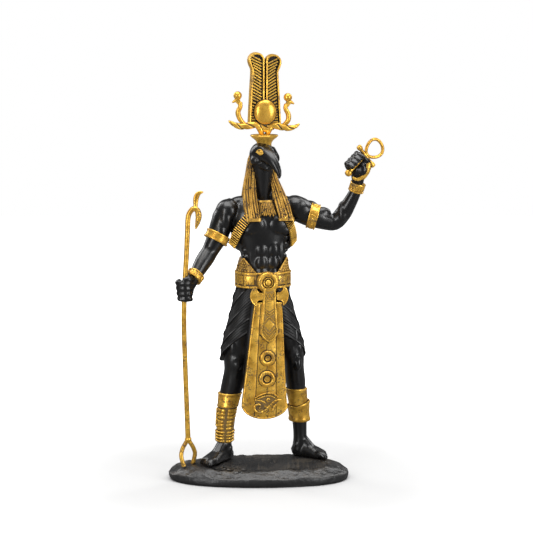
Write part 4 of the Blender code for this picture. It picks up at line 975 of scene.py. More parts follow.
    def legs(self, clay: Clay) -> None:
        """Striding legs with kneecaps, calves and bare feet."""
        for rows in (LEG_RIGHT, LEG_LEFT):
            clay.limb(rows, sides=32, steps=4)
        clay.ball((-15.6, -10.6, 81.6), (3.0, 2.8, 4.2))
        clay.ball((-10.8, -9.0, 92.4), (3.6, 3.8, 7.4), turn=16.0)
        clay.ball((-18.0, -9.0, 93.4), (3.4, 3.6, 7.4), turn=-14.0)
        clay.ball((-14.2, -10.2, 100.0), (3.6, 3.2, 9.0))
        clay.limb([(-12.2, -11.0, 84.6, 0.5, 0.5), (-13.4, -12.0, 86.4, 0.7, 0.8),
                   (-15.2, -12.6, 87.2, 0.7, 0.8), (-17.4, -12.2, 86.2, 0.7, 0.8),
                   (-18.8, -11.2, 84.2, 0.5, 0.5)], sides=12)
        clay.ball((27.8, -10.0, 80.6), (2.8, 2.7, 4.3))
        clay.ball((23.4, -8.9, 92.4), (3.4, 3.6, 7.2), turn=14.0)
        clay.ball((29.2, -7.9, 91.8), (2.8, 3.6, 6.2), turn=-14.0)
        clay.ball((25.6, -9.8, 99.0), (3.4, 3.0, 8.6))
        clay.limb([(24.4, -10.4, 83.4, 0.5, 0.5), (25.4, -11.3, 85.2, 0.7, 0.8),
                   (26.8, -11.9, 86.2, 0.7, 0.8), (28.8, -11.3, 85.0, 0.7, 0.8),
                   (30.2, -10.0, 83.0, 0.5, 0.5)], sides=12)
        clay.limb([(-16.2, -10.2, 77.0, 1.2, 1.4), (-18.0, -8.2, 66.0, 1.2, 1.5),
                   (-19.8, -6.8, 56.0, 1.0, 1.2)],
                  sides=12)
        clay.limb([(27.4, -9.2, 77.0, 1.2, 1.4), (28.6, -7.4, 66.0, 1.2, 1.5)], sides=12)
        clay.ball((-17.4, 3.4, 66.0), (6.2, 5.6, 10.0))
        clay.ball((28.6, 4.4, 66.0), (5.6, 5.4, 10.0))
        self.foot(clay, (-20.6, 4.4), (-37.4, -13.4), 1.0)
        self.foot(clay, (30.6, 6.6), (46.6, -5.8), -1.0)

    def foot(self, clay: Clay, heel: tuple[float, float], ball_of_foot: tuple[float, float],
             inner: float) -> None:
        """A bare foot flat on the rock.

        Args:
            clay: what it is added to.
            heel: x and y of the heel.
            ball_of_foot: x and y of the ball of the foot.
            inner: 1 or -1, the side of the big toe.
        """
        run = Vector((ball_of_foot[0] - heel[0], ball_of_foot[1] - heel[1], 0.0))
        ahead = run.normalized()
        inward = Vector((-ahead.y, ahead.x, 0.0)) * inner
        start = Vector((*heel, SOLE_LEVEL))
        shares = ((-0.14, 3.4, 3.2, 3.4), (-0.02, 4.2, 4.8, 4.4), (0.32, 5.2, 5.0, 5.6),
                  (0.62, 4.4, 5.9, 4.6), (0.9, 3.2, 6.8, 3.3), (1.0, 2.6, 6.8, 2.5))
        rows = []
        for share, height, width, depth in shares:
            place = start + run * share
            rows.append((place.x, place.y, place.z + height - 0.6, width, depth))
        clay.limb(rows, across=tuple(inward), sides=24, power=2.3)
        ankle = start + run * 0.12
        instep = start + run * 0.70
        middle = (ankle + instep) * 0.5
        clay.limb([
            (ankle.x, ankle.y, SOLE_LEVEL + 13.0, 4.6, 4.8),
            (middle.x, middle.y, SOLE_LEVEL + 8.2, 4.2, 4.0),
            (instep.x, instep.y, SOLE_LEVEL + 4.2, 4.2, 2.4),
        ], across=tuple(inward), sides=20)
        for side in (-1.0, 1.0):
            bone = start + run * 0.10 + inward * side * 4.4
            clay.ball((bone.x, bone.y, SOLE_LEVEL + 9.6 - 0.8 * side), (1.9, 1.9, 2.4), segments=16)
        for index in range(5):
            share = index / 4.0
            root = start + run * (0.92 - 0.16 * share) + inward * (4.9 - 10.4 * share)
            size = 2.3 - 0.85 * share ** 0.7
            tip = root + ahead * (6.6 - 2.0 * share) - inward * 0.7 * share
            bend = root.lerp(tip, 0.55)
            clay.limb([
                (root.x, root.y, SOLE_LEVEL + size + 1.6, size * 0.9, size),
                (bend.x, bend.y, SOLE_LEVEL + size + 1.2, size * 0.98, size * 1.05),
                (tip.x, tip.y, SOLE_LEVEL + size - 0.5, size * 0.98, size * 0.85),
                (tip.x + ahead.x * 1.1, tip.y + ahead.y * 1.1, SOLE_LEVEL + size * 0.8 - 0.6, size * 0.5,
                 size * 0.5),
            ], across=tuple(inward), sides=14, steps=4)


@dataclass
class Kilt:
    """The wrapped black kilt: fine slanting pleats, some of them overlapping, down to a slanting hem."""

    pleats: int = 25
    fold: float = 0.85
    crease: float = 0.26
    sides: int = 120
    power: float = 2.2
    climb: float = 57.0
    crowding: float = 0.02

    RIGHT = (
        (1.2, 0.0, 138.0, 14.8, 12.4),
        (-3.4, -0.3, 130.0, 12.4, 12.8),
        (-7.0, -1.0, 118.0, 11.6, 13.0),
        (-10.6, -1.6, 103.0, 12.4, 12.8),
        (-13.4, -2.2, 92.0, 12.2, 12.2),
        (-14.6, -2.4, 80.0, 11.8, 11.6),
    )
    LEFT = (
        (8.0, 0.0, 138.0, 14.6, 12.4),
        (11.6, -0.2, 130.0, 11.8, 12.8),
        (15.4, -0.6, 118.0, 11.4, 13.0),
        (19.4, -1.2, 103.0, 11.8, 12.6),
        (22.4, -1.6, 92.0, 11.6, 11.8),
        (23.8, -1.6, 80.0, 11.0, 11.0),
    )
    OVERLAPS = (0, 4, 9, 15, 20)
    LIP = ((0.0, 0.75), (0.16, 1.0), (0.55, 0.55), (0.96, 0.0))

    def build(self, shop: Workshop) -> bpy.types.Object:
        """Makes the kilt."""
        clay = Clay()
        self.share(clay, self.RIGHT, ((-6.6, -16.0, 106.8), (-26.8, -8.0, 90.0), (-16.0, 12.0, 82.0)))
        self.share(clay, self.LEFT, ((17.3, -14.0, 102.7), (33.6, -6.0, 89.0), (26.0, 12.0, 82.0)))
        clay.limb([
            (4.6, -11.2, 131.0, 10.0, 4.8),
            (3.6, -12.4, 105.0, 13.0, 6.0),
            (2.8, -13.8, 75.0, 14.2, 5.4),
            (2.6, -15.6, 51.0, 14.4, 4.0),
        ], sides=32, power=4.0)
        return shop.piece("kilt", clay.crisp(), Finish.CLOTH, sharp=60.0)

    def share(self, clay: Clay, rows: Sequence[Row], hem: Sequence[Row]) -> None:
        """One thigh's share of the cloth.

        Args:
            clay: what it is added to.
            rows: x, y, z, half width and half depth down the thigh.
            hem: three places that the hem runs through.
        """
        first, second, third = [Vector(point) for point in hem]
        slant = (second - first).cross(third - first)
        top = rows[0][2]
        shape = bmesh.new()
        rings = []
        for number in range(self.pleats * len(self.LIP)):
            pleat, part = divmod(number, len(self.LIP))
            along, lip = self.LIP[part]
            rise = self.climb * (pleat + along) / self.pleats
            level = self.crowding * (number - self.pleats * len(self.LIP))
            depth = self.fold if pleat in self.OVERLAPS else self.crease
            ring = bmesh.ops.create_circle(shape, cap_ends=False, segments=self.sides,
                                           radius=1.0)["verts"]
            rings.append(list({edge for vert in ring for edge in vert.link_edges}))
            for vert in ring:
                angle = math.atan2(vert.co.y, vert.co.x)
                seed = Vector((1.4 * vert.co.x, 1.4 * vert.co.y, pleat * 3.7))
                uneven = 0.85 + 0.3 * noise.noise(seed)
                proud = depth * lip * uneven
                vert.co = self.on_cloth(rows, first, slant, angle, rise, top + level, proud)
        for lower, upper in zip(rings, rings[1:]):
            bmesh.ops.bridge_loops(shape, edges=lower + upper)
        for ring in (rings[0], rings[-1]):
            bmesh.ops.contextual_create(shape, geom=ring)
        clay.add(shape)

    def on_cloth(self, rows: Sequence[Row], hem: Vector, slant: Vector, angle: float, rise: float,
                 top: float, proud: float) -> Vector:
        """A place on the cloth.

        Args:
            rows: the thigh's rows.
            hem: a place on the hem.
            slant: the direction square to the hem's plane.
            angle: where it lies round the thigh.
            rise: how far it lies above the hem, in millimetres.
            top: the height that it stays under.
            proud: how far it stands off the thigh, in millimetres.

        Returns:
            The place in metres.
        """
        c, s = rounded(angle, self.power)
        height = min(top, hem.z + rise)
        steep = 1.0 + 0.3 * min(1.0, rise / 40.0)
        for _ in range(4):
            x, y, _, wide, deep = row_at(rows, height)
            x += c * (wide + proud)
            y += s * (deep + proud)
            fall = (slant.x * (x - hem.x) + slant.y * (y - hem.y)) / slant.z
            height = min(top, hem.z - fall * steep + rise)
        return spot(x, y, height)


@dataclass
class Rock:
    """The thin oval slab of dark rock with cracked ledges on its top."""

    rim_height: float = 7.4
    rim_share: float = 0.950
    sides: int = 240
    rings: int = 44

    def build(self, shop: Workshop) -> bpy.types.Object:
        """Makes the rock."""
        clay = Clay()
        stations = []
        levels = [(0.0, 0.02), (0.0, 0.5), (0.0, 0.90), (0.0, 0.955), (0.5, 0.972), (1.4, 0.985),
                  (2.6, 0.994), (3.8, 0.997), (5.0, 0.994), (6.0, 0.984), (6.8, 0.968),
                  (self.rim_height, self.rim_share)]
        for index in range(self.rings):
            share = (index + 1.0) / self.rings
            size = self.rim_share * (1.0 - share) ** 0.9 + 0.004
            climb = min(1.0, (self.rim_share - size) / 0.16) ** 0.8
            levels.append((self.rim_height + (SOLE_LEVEL + 0.1 - self.rim_height) * climb, size))
        for height, size in levels:
            stations.append(Station(upright(height), Vector((BASE_LENGTH / 2.0 * size * MM, 0.0, 0.0)),
                                    Vector((0.0, BASE_DEPTH / 2.0 * size * MM, 0.0))))
        clay.skin(stations, self.sides, 2.25)
        for vert in clay.mesh.verts:
            self.roughen(vert)
        return shop.piece("rock_base", clay.crisp(), Finish.ROCK, sharp=60.0)

    def roughen(self, vert: bmesh.types.BMVert) -> None:
        """Breaks the surface into ledges and cracks; the underside and the foot marks stay level."""
        place = vert.co / MM
        if place.z < 0.2:
            return
        reach = math.hypot(place.x / (BASE_LENGTH / 2.0), place.y / (BASE_DEPTH / 2.0))
        top = min(1.0, max(0.0, (place.z - 5.5) / 3.0))
        drift = noise.noise(Vector((place.x * 0.045, place.y * 0.09, 3.0)))
        broad = noise.noise(Vector((place.x * 0.05, place.y * 0.11 + drift, 0.4)))
        layers = (broad + 0.5 * noise.noise(Vector((place.x * 0.12, place.y * 0.22, 7.0)))) * 2.2
        ledge = layers - math.floor(layers)
        step = math.floor(layers) + min(1.0, ledge / 0.18)
        cracks = abs(noise.noise(Vector((place.x * 0.10 + drift, place.y * 0.34, 11.0))))
        crack = max(0.0, 1.0 - cracks / 0.07)
        fine = noise.fractal(Vector((place.x * 0.35, place.y * 0.5, place.z * 0.5)), 0.9, 2.2, 4)
        sunk = top * (0.55 * step - 0.9) + top * 0.28 * fine - top * 0.9 * crack
        keep = self.foot_mark(place)
        rise = (sunk - 0.35) * (1.0 - keep)
        rise = max(-2.6, min(0.15, rise))
        chips = noise.fractal(Vector((place.x * 0.16, place.y * 0.16, place.z * 0.55)), 0.9, 2.1, 4)
        wave = noise.noise(Vector((place.x * 0.05, place.y * 0.05, place.z * 0.25 + 5.0)))
        pull = min(0.0, 0.5 * chips + 0.9 * wave - 0.35) * min(1.0, reach) * min(1.0, place.z / 1.5)
        outward = Vector((place.x, place.y, 0.0)).normalized() if reach > 0.05 else Vector()
        side = 1.0 - top * 0.7
        at_edge = 1.0 if reach > 0.8 else 0.0
        vert.co = (place + Vector((0.0, 0.0, rise)) + outward * pull * side * at_edge) * MM

    def foot_mark(self, place: Vector) -> float:
        """1 under a foot or a prong of the staff, fading to 0 round them."""
        strongest = 0.0
        for start, end, reach in (((-21.0, 4.0), (-41.0, -17.0), 7.5), ((30.0, 7.0), (51.0, -9.0), 7.5),
                                  ((-54.0, -11.8), (-47.0, -5.4), 3.5)):
            first, second = spot(*start, 0.0) / MM, spot(*end, 0.0) / MM
            span = second - first
            flat = Vector((place.x, place.y, first.z))
            share = max(0.0, min(1.0, (flat - first).dot(span) / span.length_squared))
            gap = (flat - first.lerp(second, share)).length
            strongest = max(strongest, 1.0 - min(1.0, max(0.0, gap - reach) / 4.0))
        return strongest


@dataclass
class Crown:
    """Cup, stem, twisted horns, two tall plumes, sun disc and two cobras."""

    axis_x: float = 5.3
    plume_front: float = -4.3
    plume_back: float = 1.6
    rim: float = 0.7
    barb_gap: float = 1.0
    headroom: float = 0.12
    barb_pitch: float = 2.1
    horn_grooves: int = 8
    disc_x: float = 5.0
    disc_z: float = 258.7
    disc_radius: float = 7.6
    disc_squash: float = 1.12
    dome_height: float = 3.4
    cobra_depth: float = -4.4
    cobra_ball: float = 2.95

    PLUMES = (("plume_right", -1.0, 300.0), ("plume_left", 1.0, 298.7))
    COBRAS = (
        ("cobra_right",
         ((-8.6, 249.6, 1.6), (-12.2, 253.6, 2.0), (-13.8, 258.4, 2.1), (-12.2, 262.6, 1.9),
          (-12.2, 265.6, 1.7)),
         ((-12.6, 266.6, 1.7), (-14.8, 267.0, 1.5), (-17.8, 265.4, 0.5)), (-14.0, 270.2)),
        ("cobra_left",
         ((17.6, 248.6, 1.6), (21.4, 252.2, 2.0), (21.8, 256.6, 2.1), (19.8, 260.9, 1.9),
          (20.4, 264.0, 1.7)),
         ((20.8, 265.0, 1.7), (22.8, 265.6, 1.5), (25.8, 264.0, 0.5)), (21.4, 268.6)),
    )

    def build(self, shop: Workshop) -> None:
        """Makes the crown's pieces."""
        self.cup(shop)
        self.horns(shop)
        for name, side, top in self.PLUMES:
            self.plume(shop, name, side, top)
        self.sun_disc(shop)
        for name, path, head, ball in self.COBRAS:
            self.cobra(shop, name, path, head, ball)

    def cup(self, shop: Workshop) -> None:
        """The flared cup on the head and the forked stem in it."""
        clay = Clay()
        clay.turned((4.9, -3.4, 0.0), UPWARDS, [
            (233.0, 5.3), (234.6, 5.2), (236.0, 5.0), (237.4, 5.3), (238.6, 6.1), (239.8, 7.3),
            (240.8, 8.7), (241.6, 9.5), (242.3, 9.75), (242.7, 9.5), (242.4, 8.9), (241.6, 6.4),
            (241.2, 3.4),
        ], sides=64)
        # The stem's foot in the cup is painted half dark, as shade inside the cup.
        clay.limb([(4.9, -3.4, 240.6, 2.6, 2.6), (4.9, -3.4, 242.4, 3.0, 3.0),
                   (4.9, -3.4, 243.4, 3.4, 3.2)],
                  sides=32, wash_and_shade=0.5)
        for side in (-1.0, 1.0):
            clay.limb([(4.9 + side * 1.3, -4.2, 242.2, 1.2, 1.6),
                       (4.9 + side * 2.3, -4.6, 244.4, 1.9, 2.4),
                       (4.9 + side * 3.4, -4.8, 246.8, 2.1, 2.6),
                       (4.9 + side * 5.2, -4.8, 248.8, 1.6, 2.0)],
                      sides=24, steps=5)
        shop.piece("cup_and_stem", clay.crisp(), Finish.SMOOTH_GOLD)

    def horns(self, shop: Workshop) -> None:
        """The wavy ram horns with their spiral grooves, painted dark as shade in the grooves."""
        rows = [
            (-20.4, 252.9, 0.5), (-18.8, 251.6, 1.2), (-15.6, 249.8, 1.9), (-11.6, 248.8, 2.3),
            (-6.7, 249.2, 2.5), (-2.0, 249.8, 2.5), (1.6, 248.4, 2.5), (5.2, 246.6, 2.6),
            (8.8, 247.9, 2.5), (12.6, 249.0, 2.5), (17.0, 248.0, 2.4), (21.6, 247.2, 2.1),
            (25.6, 247.8, 1.6), (28.4, 249.2, 1.0), (29.6, 250.2, 0.5),
        ]

        def twist(angle: float, share: float) -> float:
            """Two spiral grooves."""
            phase = 2.0 * angle - share * 2.0 * math.pi * self.horn_grooves
            return 1.0 - 0.36 * (0.5 + 0.5 * math.cos(phase)) ** 8

        clay = Clay()
        # The grooves are painted dark as shade.
        clay.limb([(x, -4.8, z, r, r) for x, z, r in rows], across=UPWARDS, steps=12, sides=48,
                  carve=twist, groove_shade=0.9)
        shop.piece("ram_horns", clay.crisp(), Finish.SMOOTH_GOLD, sharp=70.0)

    def outline(self, side: float, top: float, inset: float) -> list[tuple[float, float]]:
        """The plume's outline as pairs of x and z, drawn in by so many millimetres."""
        axis, drop = self.axis_x, top - 300.0
        foot = 249.6 + inset
        points = [(axis + side * (0.3 + inset), foot), (axis + side * (11.5 - inset), foot)]
        for height, width in ((262.0, 10.9), (275.0, 10.2), (284.0, 9.6), (287.6, 9.5), (289.2, 9.9),
                              (290.8, 10.7)):
            points.append((axis + side * (width - inset), height + drop))
        centre = (axis + side * 5.9, 294.4 + drop)
        crest = arc((0.0, centre[1]), (5.7 - inset, 5.6 - inset), -16.0, 196.0, 26)
        points += [(centre[0] + side * x, z) for x, z in crest]
        points.append((axis + side * (0.3 + inset), 290.0 + drop))
        points.append((axis + side * (0.3 + inset), 272.0))
        return points

    def span(self, side: float, top: float, level: float) -> tuple[float, float]:
        """Where a plume's field begins and ends at a height, measured outwards from the crown's axis."""
        points = self.outline(side, top, 1.5)
        crossings = []
        for (x1, z1), (x2, z2) in zip(points, points[1:] + points[:1]):
            if (z1 - level) * (z2 - level) < 0.0:
                crossings.append(side * (x1 + (x2 - x1) * (level - z1) / (z2 - z1) - self.axis_x))
        return (min(crossings), max(crossings)) if crossings else (0.0, 0.0)

    def plume(self, shop: Workshop, name: str, side: float, top: float) -> None:
        """One tall feather: side walls with a little painted shade, a high rim, a sunk field painted dark
        as shade, and slanting barbs.
        """
        clay = Clay()
        top -= self.headroom
        # The walls carry a little painted shade, and the sunk field is painted dark as shade.
        clay.plate(self.outline(side, top, 0.0), self.plume_front, self.plume_back, bevel=0.35,
                   wash_and_shade=0.35)
        clay.plate(self.outline(side, top, 1.0), self.plume_front - 0.05, self.plume_front + 0.6,
                   bevel=0.0, wash_and_shade=1.0)
        ring = [spot(x, self.plume_front - 0.6, z) for x, z in self.outline(side, top, 0.85)]
        clay.hoop(ring, heading(*FORWARDS), self.rim, 1.35, power=2.6)
        level = 251.6
        while level < top - 2.6:
            beside_disc = level < 268.0
            lean = 0.2 if level < 262.0 else min(1.7, 0.3 + (level - 262.0) * 0.25)
            inner, outer = self.span(side, top, level)
            if side < 0.0:
                inner += self.barb_gap
            else:
                outer -= self.barb_gap
            if beside_disc:
                half = 8.7 ** 2 - (level - 258.7) ** 2
                inner = max(inner, (math.sqrt(half) * 0.87 if half > 0.0 else 0.0))
            if outer - inner > 0.9:
                steep = lean * min(1.0, (outer - inner) / 5.0)
                start = (self.axis_x + side * inner, self.plume_front - 0.65, level - steep)
                end = (self.axis_x + side * outer, self.plume_front - 0.65, level + steep)
                clay.bar(start, end, 0.58, 0.66, power=2.4, sides=8)
            level += self.barb_pitch - (0.2 if beside_disc else 0.0)
        shop.piece(name, clay.crisp(), Finish.GOLD)

    def sun_disc(self, shop: Workshop) -> None:
        """The domed disc in front of the plumes, with a dark ring behind it painted as its shadow."""
        clay = Clay()
        radius, squash = self.disc_radius, self.disc_squash
        dome = [(-2.6, radius), (0.4, radius + 0.1), (0.8, radius)]
        for index in range(1, 15):
            angle = math.radians(90.0 / 14.0 * index)
            dome.append((0.8 + self.dome_height * math.sin(angle), radius * math.cos(angle) + 0.02))
        clay.turned((self.disc_x, -6.4, self.disc_z), FORWARDS, dome, sides=72, squash=squash)
        # A painted shadow: a dark ring just wider than the disc, behind it.
        clay.turned((self.disc_x, -5.2, self.disc_z), FORWARDS, [(-1.0, 8.3), (0.8, 8.3)], sides=72,
                    squash=squash, wash_and_shade=1.0)
        shop.piece("sun_disc", clay.crisp(), Finish.SMOOTH_GOLD, sharp=70.0)

    def cobra(self, shop: Workshop, name: str, body: Sequence[Row], head: Sequence[Row],
              disc: tuple[float, float]) -> None:
        """A rearing cobra from x, z and radius of its path and head; its ball stands on a neck painted
        dark as shade.
        """
        clay = Clay()
        depth = self.cobra_depth
        clay.limb([(x, depth, z, r, r * 0.85) for x, z, r in body], across=FRONT_TO_BACK, steps=6,
                  sides=20)
        clay.limb([(x, depth, z, r * 1.05, r) for x, z, r in head], across=FRONT_TO_BACK, steps=6,
                  sides=20)
        nape, crest = body[-1], head[len(head) // 2]
        clay.bar((nape[0], depth, nape[1] - 1.2), (crest[0], depth, crest[1]), nape[2] * 0.9,
                 nape[2] * 0.8)
        clay.ball((disc[0], depth, disc[1]), (self.cobra_ball,) * 3, segments=32)
        # The neck under the ball is painted dark as shade.
        clay.turned((disc[0], depth, disc[1] - 3.2), UPWARDS, [(-0.8, 1.5), (0.2, 1.2), (0.9, 1.5)],
                    sides=20, wash_and_shade=0.8)
        shop.piece(name, clay.crisp(), Finish.SMOOTH_GOLD, sharp=70.0)


@dataclass
class Headcloth:
    """Gold headcloth: strands down the back, two lappets with flat hems, and a fringe on the chest."""

    strand: float = 0.95

    BACK = (
        (3.2, 3.6, 234.6, 3.6, 4.4),
        (3.2, 3.8, 230.6, 5.8, 7.4),
        (2.9, 3.8, 223.4, 8.0, 9.0),
        (2.7, 4.4, 213.0, 9.4, 9.6),
        (3.0, 5.4, 204.0, 11.2, 9.6),
        (3.6, 7.0, 196.0, 12.4, 9.0),
        (4.2, 9.0, 186.0, 12.6, 7.4),
        (4.2, 10.4, 176.0, 12.6, 5.4),
    )
    LAPPETS = {
        "lappet_right": (
            (-3.2, -1.6, 226.0, 2.8, 2.6),
            (-4.8, -4.6, 216.0, 3.6, 2.8),
            (-6.2, -8.0, 206.0, 4.2, 2.9),
            (-6.2, -12.0, 195.0, 4.5, 2.9),
            (-5.0, -14.6, 185.0, 4.9, 2.6),
        ),
        "lappet_left": (
            (9.6, -1.6, 222.0, 2.8, 2.6),
            (11.2, -4.6, 213.0, 3.2, 2.8),
            (13.4, -8.0, 205.0, 3.8, 2.9),
            (16.0, -11.6, 195.0, 4.6, 2.9),
            (18.4, -14.0, 185.0, 5.0, 2.6),
        ),
    }

    def build(self, shop: Workshop) -> None:
        """Makes the headcloth's pieces."""
        self.back(shop)
        for name, rows in self.LAPPETS.items():
            self.lappet(shop, name, rows)
        self.fringe(shop)

    def back(self, shop: Workshop) -> None:
        """The mass behind the head, with strands all round a core painted dark as shade between them."""
        clay = Clay()
        # The core shows between the strands, painted dark as shade.
        clay.limb(self.BACK, steps=4, sides=64, wash_and_shade=0.85)
        count = 30
        for index in range(count):
            angle = 2.0 * math.pi * index / count
            c, s = math.cos(angle), math.sin(angle)
            rows = []
            for number, row in enumerate(self.BACK):
                sway = 0.35 * math.sin(index * 2.3 + number * 1.1)
                size = self.strand * (0.55 + 0.06 * row[3])
                rows.append((row[0] + c * (row[3] - 0.25) + sway * -s,
                             row[1] + s * (row[4] - 0.25) + sway * c, row[2], size, size))
            clay.limb(rows, steps=4, sides=8)
        clay.limb([(4.2, 10.4, 177.0, 13.4, 6.2), (4.2, 10.5, 174.8, 13.5, 6.2)], steps=1, sides=64,
                  power=2.2)
        shop.piece("headcloth_back", clay.crisp(), Finish.DULL_GOLD, sharp=60.0)

    def lappet(self, shop: Workshop, name: str, rows: Sequence[Row]) -> None:
        """One lappet: strands side by side over a core painted dark as shade, and a flat hem block."""
        clay = Clay()
        # The core shows between the strands, painted dark as shade.
        clay.limb([(*row[:3], row[3] * 0.92, row[4] * 0.8) for row in rows], steps=5, sides=32,
                  power=2.8, wash_and_shade=0.85)
        count = 6
        for index in range(count):
            place = -1.0 + 2.0 * index / (count - 1)
            strand = []
            for number, row in enumerate(rows):
                curve = math.sqrt(max(0.0, 1.0 - (abs(place) * 0.92) ** 3))
                sway = 0.3 * math.sin(index * 1.9 + number * 1.7)
                size = row[3] * 0.165 + 0.1 * math.sin(index * 3.1 + number)
                strand.append((row[0] + place * row[3] * 0.86 + sway, row[1] - row[4] * 0.86 * curve,
                               row[2], size, size * 1.2))
            clay.limb(strand, steps=6, sides=10)
            outside = [(x, y + 1.6 * rows[number][4] * (0.5 + 0.4 * abs(place)), z, a, b)
                       for number, (x, y, z, a, b) in enumerate(strand)]
            clay.limb(outside, steps=4, sides=8)
        end = rows[-1]
        clay.limb([(end[0], end[1] - 0.2, end[2] + 0.6, end[3] + 0.5, end[4] + 0.5),
                   (end[0], end[1] - 0.3, end[2] - 1.5, end[3] + 0.6, end[4] + 0.6)], steps=1, sides=40,
                  power=5.0)
        shop.piece(name, clay.crisp(), Finish.DULL_GOLD, sharp=60.0)

    def fringe(self, shop: Workshop) -> None:
        """The short tassels between the lappets, round a core painted dark as shade."""
        clay = Clay()
        # The core shows between the tassels, painted dark as shade.
        clay.limb([(4.6, -3.4, 196.4, 7.0, 8.0), (5.0, -4.0, 192.6, 7.6, 9.4),
                   (5.4, -4.6, 188.4, 8.4, 10.6)],
                  steps=3, sides=48, wash_and_shade=0.9)
        clay.limb([(4.5, -3.4, 195.6, 7.9, 9.0), (4.5, -3.3, 196.9, 7.6, 8.7)], steps=1, sides=48,
                  power=2.2)
        count = 40
        for index in range(count):
            angle = 2.0 * math.pi * index / count
            c, s = math.cos(angle), math.sin(angle)
            drop = 0.7 * math.sin(index * 2.7)
            clay.limb([
                (4.6 + c * 7.2, -3.4 + s * 8.2, 196.2, 0.5, 0.6),
                (5.0 + c * 7.9, -4.0 + s * 9.8, 192.4, 0.56, 0.75),
                (5.4 + c * 8.7, -4.6 + s * 11.0, 188.4 - drop, 0.6, 0.8),
                (5.5 + c * 8.8, -4.7 + s * 11.1, 187.2 - drop, 0.3, 0.35),
            ], steps=4, sides=10)
        shop.piece("fringe", clay.crisp(), Finish.DULL_GOLD, sharp=60.0)


@dataclass
class Harness:
    """Ribbed straps, arm bands, wrist bands and the jewel of the raised palm."""

    strap_half_width: float = 3.1
    rib_pitch: float = 1.5
    ornaments: int = 16

    PETAL_SHAPE = ((-0.9, 0.5), (-0.5, 0.9), (0.0, 1.2), (0.5, 0.9), (0.9, 0.5))

    def build(self, shop: Workshop) -> None:
        """Makes the harness pieces."""
        self.strap(shop, "strap_right", -1.0, [
            (-6.6, -15.0, 188.0), (-10.4, -14.0, 183.4), (-14.2, -11.4, 176.6), (-16.4, -8.0, 170.4),
            (-17.6, -4.0, 166.0)])
        self.strap(shop, "strap_left", 1.0, [
            (17.4, -14.8, 188.0), (19.9, -13.8, 183.6), (22.8, -10.6, 176.8), (24.4, -6.8, 170.4),
            (25.0, -2.6, 166.0)])
        self.band(shop, "armband_right", (-28.2, -0.4, 171.0), (-0.46, -0.12, -0.86), 8.4, 5.8, False)
        self.band(shop, "armband_left", (40.2, -1.6, 184.6), (0.95, -0.2, -0.26), 8.7, 6.4, True)
        self.band(shop, "wristband_right", (-45.8, -12.6, 145.6), (-0.62, -0.44, -0.66), 5.8, 5.0, True)
        self.band(shop, "wristband_left", (69.4, -11.9, 205.8), (0.24, -0.24, 0.94), 5.0, 6.4, True)
        self.palm_jewel(shop)

    def strap(self, shop: Workshop, name: str, side: float, path: Sequence[Row]) -> None:
        """A strap over the chest with close ribs across it, over a core painted dark as shade."""
        clay = Clay()
        across = (side * 0.62, -0.78, 0.0)
        # The core shows between the ribs, painted dark as shade.
        clay.limb([(*place, 1.0, self.strap_half_width) for place in path], across=across, steps=5,
                  sides=20, power=3.5, wash_and_shade=1.0)
        samples = between(path, 30)
        travelled = 0.0
        last = spot(*samples[0])
        for index in range(1, len(samples) - 1):
            here = spot(*samples[index])
            travelled += (here - last).length / MM
            last = here
            if travelled < self.rib_pitch:
                continue
            travelled = 0.0
            ahead = (spot(*samples[index + 1]) - spot(*samples[index - 1])).normalized()
            out = heading(*across)
            out = (out - ahead * out.dot(ahead)).normalized()
            span = ahead.cross(out) * self.strap_half_width * MM
            stations = [Station(here + out * 1.15 * MM + span * share, ahead * 0.4 * MM, out * 0.85 * MM)
                        for share in (-1.05, -0.9, 0.0, 0.9, 1.05)]
            clay.skin(stations, sides=8)
        shop.piece(name, clay.crisp(), Finish.GOLD, sharp=60.0)

    def band(self, shop: Workshop, name: str, centre: Row, axis: Row, radius: float, height: float,
             ornament: bool) -> None:
        """A cuff with rolled rims, and with studs and panels where it is ornamented."""
        clay = Clay()
        half = height / 2.0
        profile = [(-half, radius - 1.6), (-half, radius + 0.35), (-half + 0.25, radius + 0.55),
                   (-half + 0.85, radius + 0.55), (-half + 1.1, radius + 0.3), (-half + 1.2, radius),
                   (half - 1.2, radius), (half - 1.1, radius + 0.3), (half - 0.85, radius + 0.55),
                   (half - 0.25, radius + 0.55), (half, radius + 0.35), (half, radius - 1.6)]
        clay.turned(centre, axis, profile, sides=64, across=(0.3, 1.0, 0.2))
        if ornament:
            ahead = heading(*axis)
            side = heading(0.3, 1.0, 0.2)
            wide = (side - ahead * side.dot(ahead)).normalized()
            deep = ahead.cross(wide)
            for index, (c, s) in enumerate(around(self.ornaments)):
                out = wide * c + deep * s
                along = ahead.cross(out).normalized()
                place = spot(*centre) + out * radius * MM
                reach = (half - 1.5) * MM
                if index % 4 == 0:
                    stations = [
                        Station(place + ahead * reach * share, along * size * MM, out * 0.45 * MM)
                        for share, size in self.PETAL_SHAPE]
                    clay.skin(stations, sides=12)
                else:
                    lean = 0.35 * MM * (1.0 if index % 2 else -1.0)
                    stations = [
                        Station(place + ahead * reach * share + along * lean * share, along * 0.3 * MM,
                                out * 0.4 * MM)
                        for share in (-0.95, 0.0, 0.95)]
                    clay.skin(stations, sides=8)
        shop.piece(name, clay.crisp(), Finish.GOLD)

    def palm_jewel(self, shop: Workshop) -> None:
        """The gold plate at the palm's outer side, and the curved band along its foot."""
        clay = Clay()
        clay.limb([(75.2, -21.2, 225.2, 0.8, 1.0), (75.0, -22.2, 221.8, 2.0, 1.3),
                   (73.6, -22.6, 218.0, 2.6, 1.5), (72.6, -21.4, 214.4, 1.8, 1.4),
                   (72.2, -19.8, 212.0, 0.6, 0.8)], steps=5, sides=20)
        clay.limb([(64.0, -21.4, 213.6, 0.8, 0.8), (66.8, -22.2, 212.2, 1.1, 0.9),
                   (70.2, -22.8, 213.2, 1.3, 1.0), (72.6, -23.0, 216.2, 1.4, 1.0)], across=UPWARDS,
                  steps=5, sides=16)
        shop.piece("palm_jewel", clay.crisp(), Finish.GOLD, sharp=70.0)


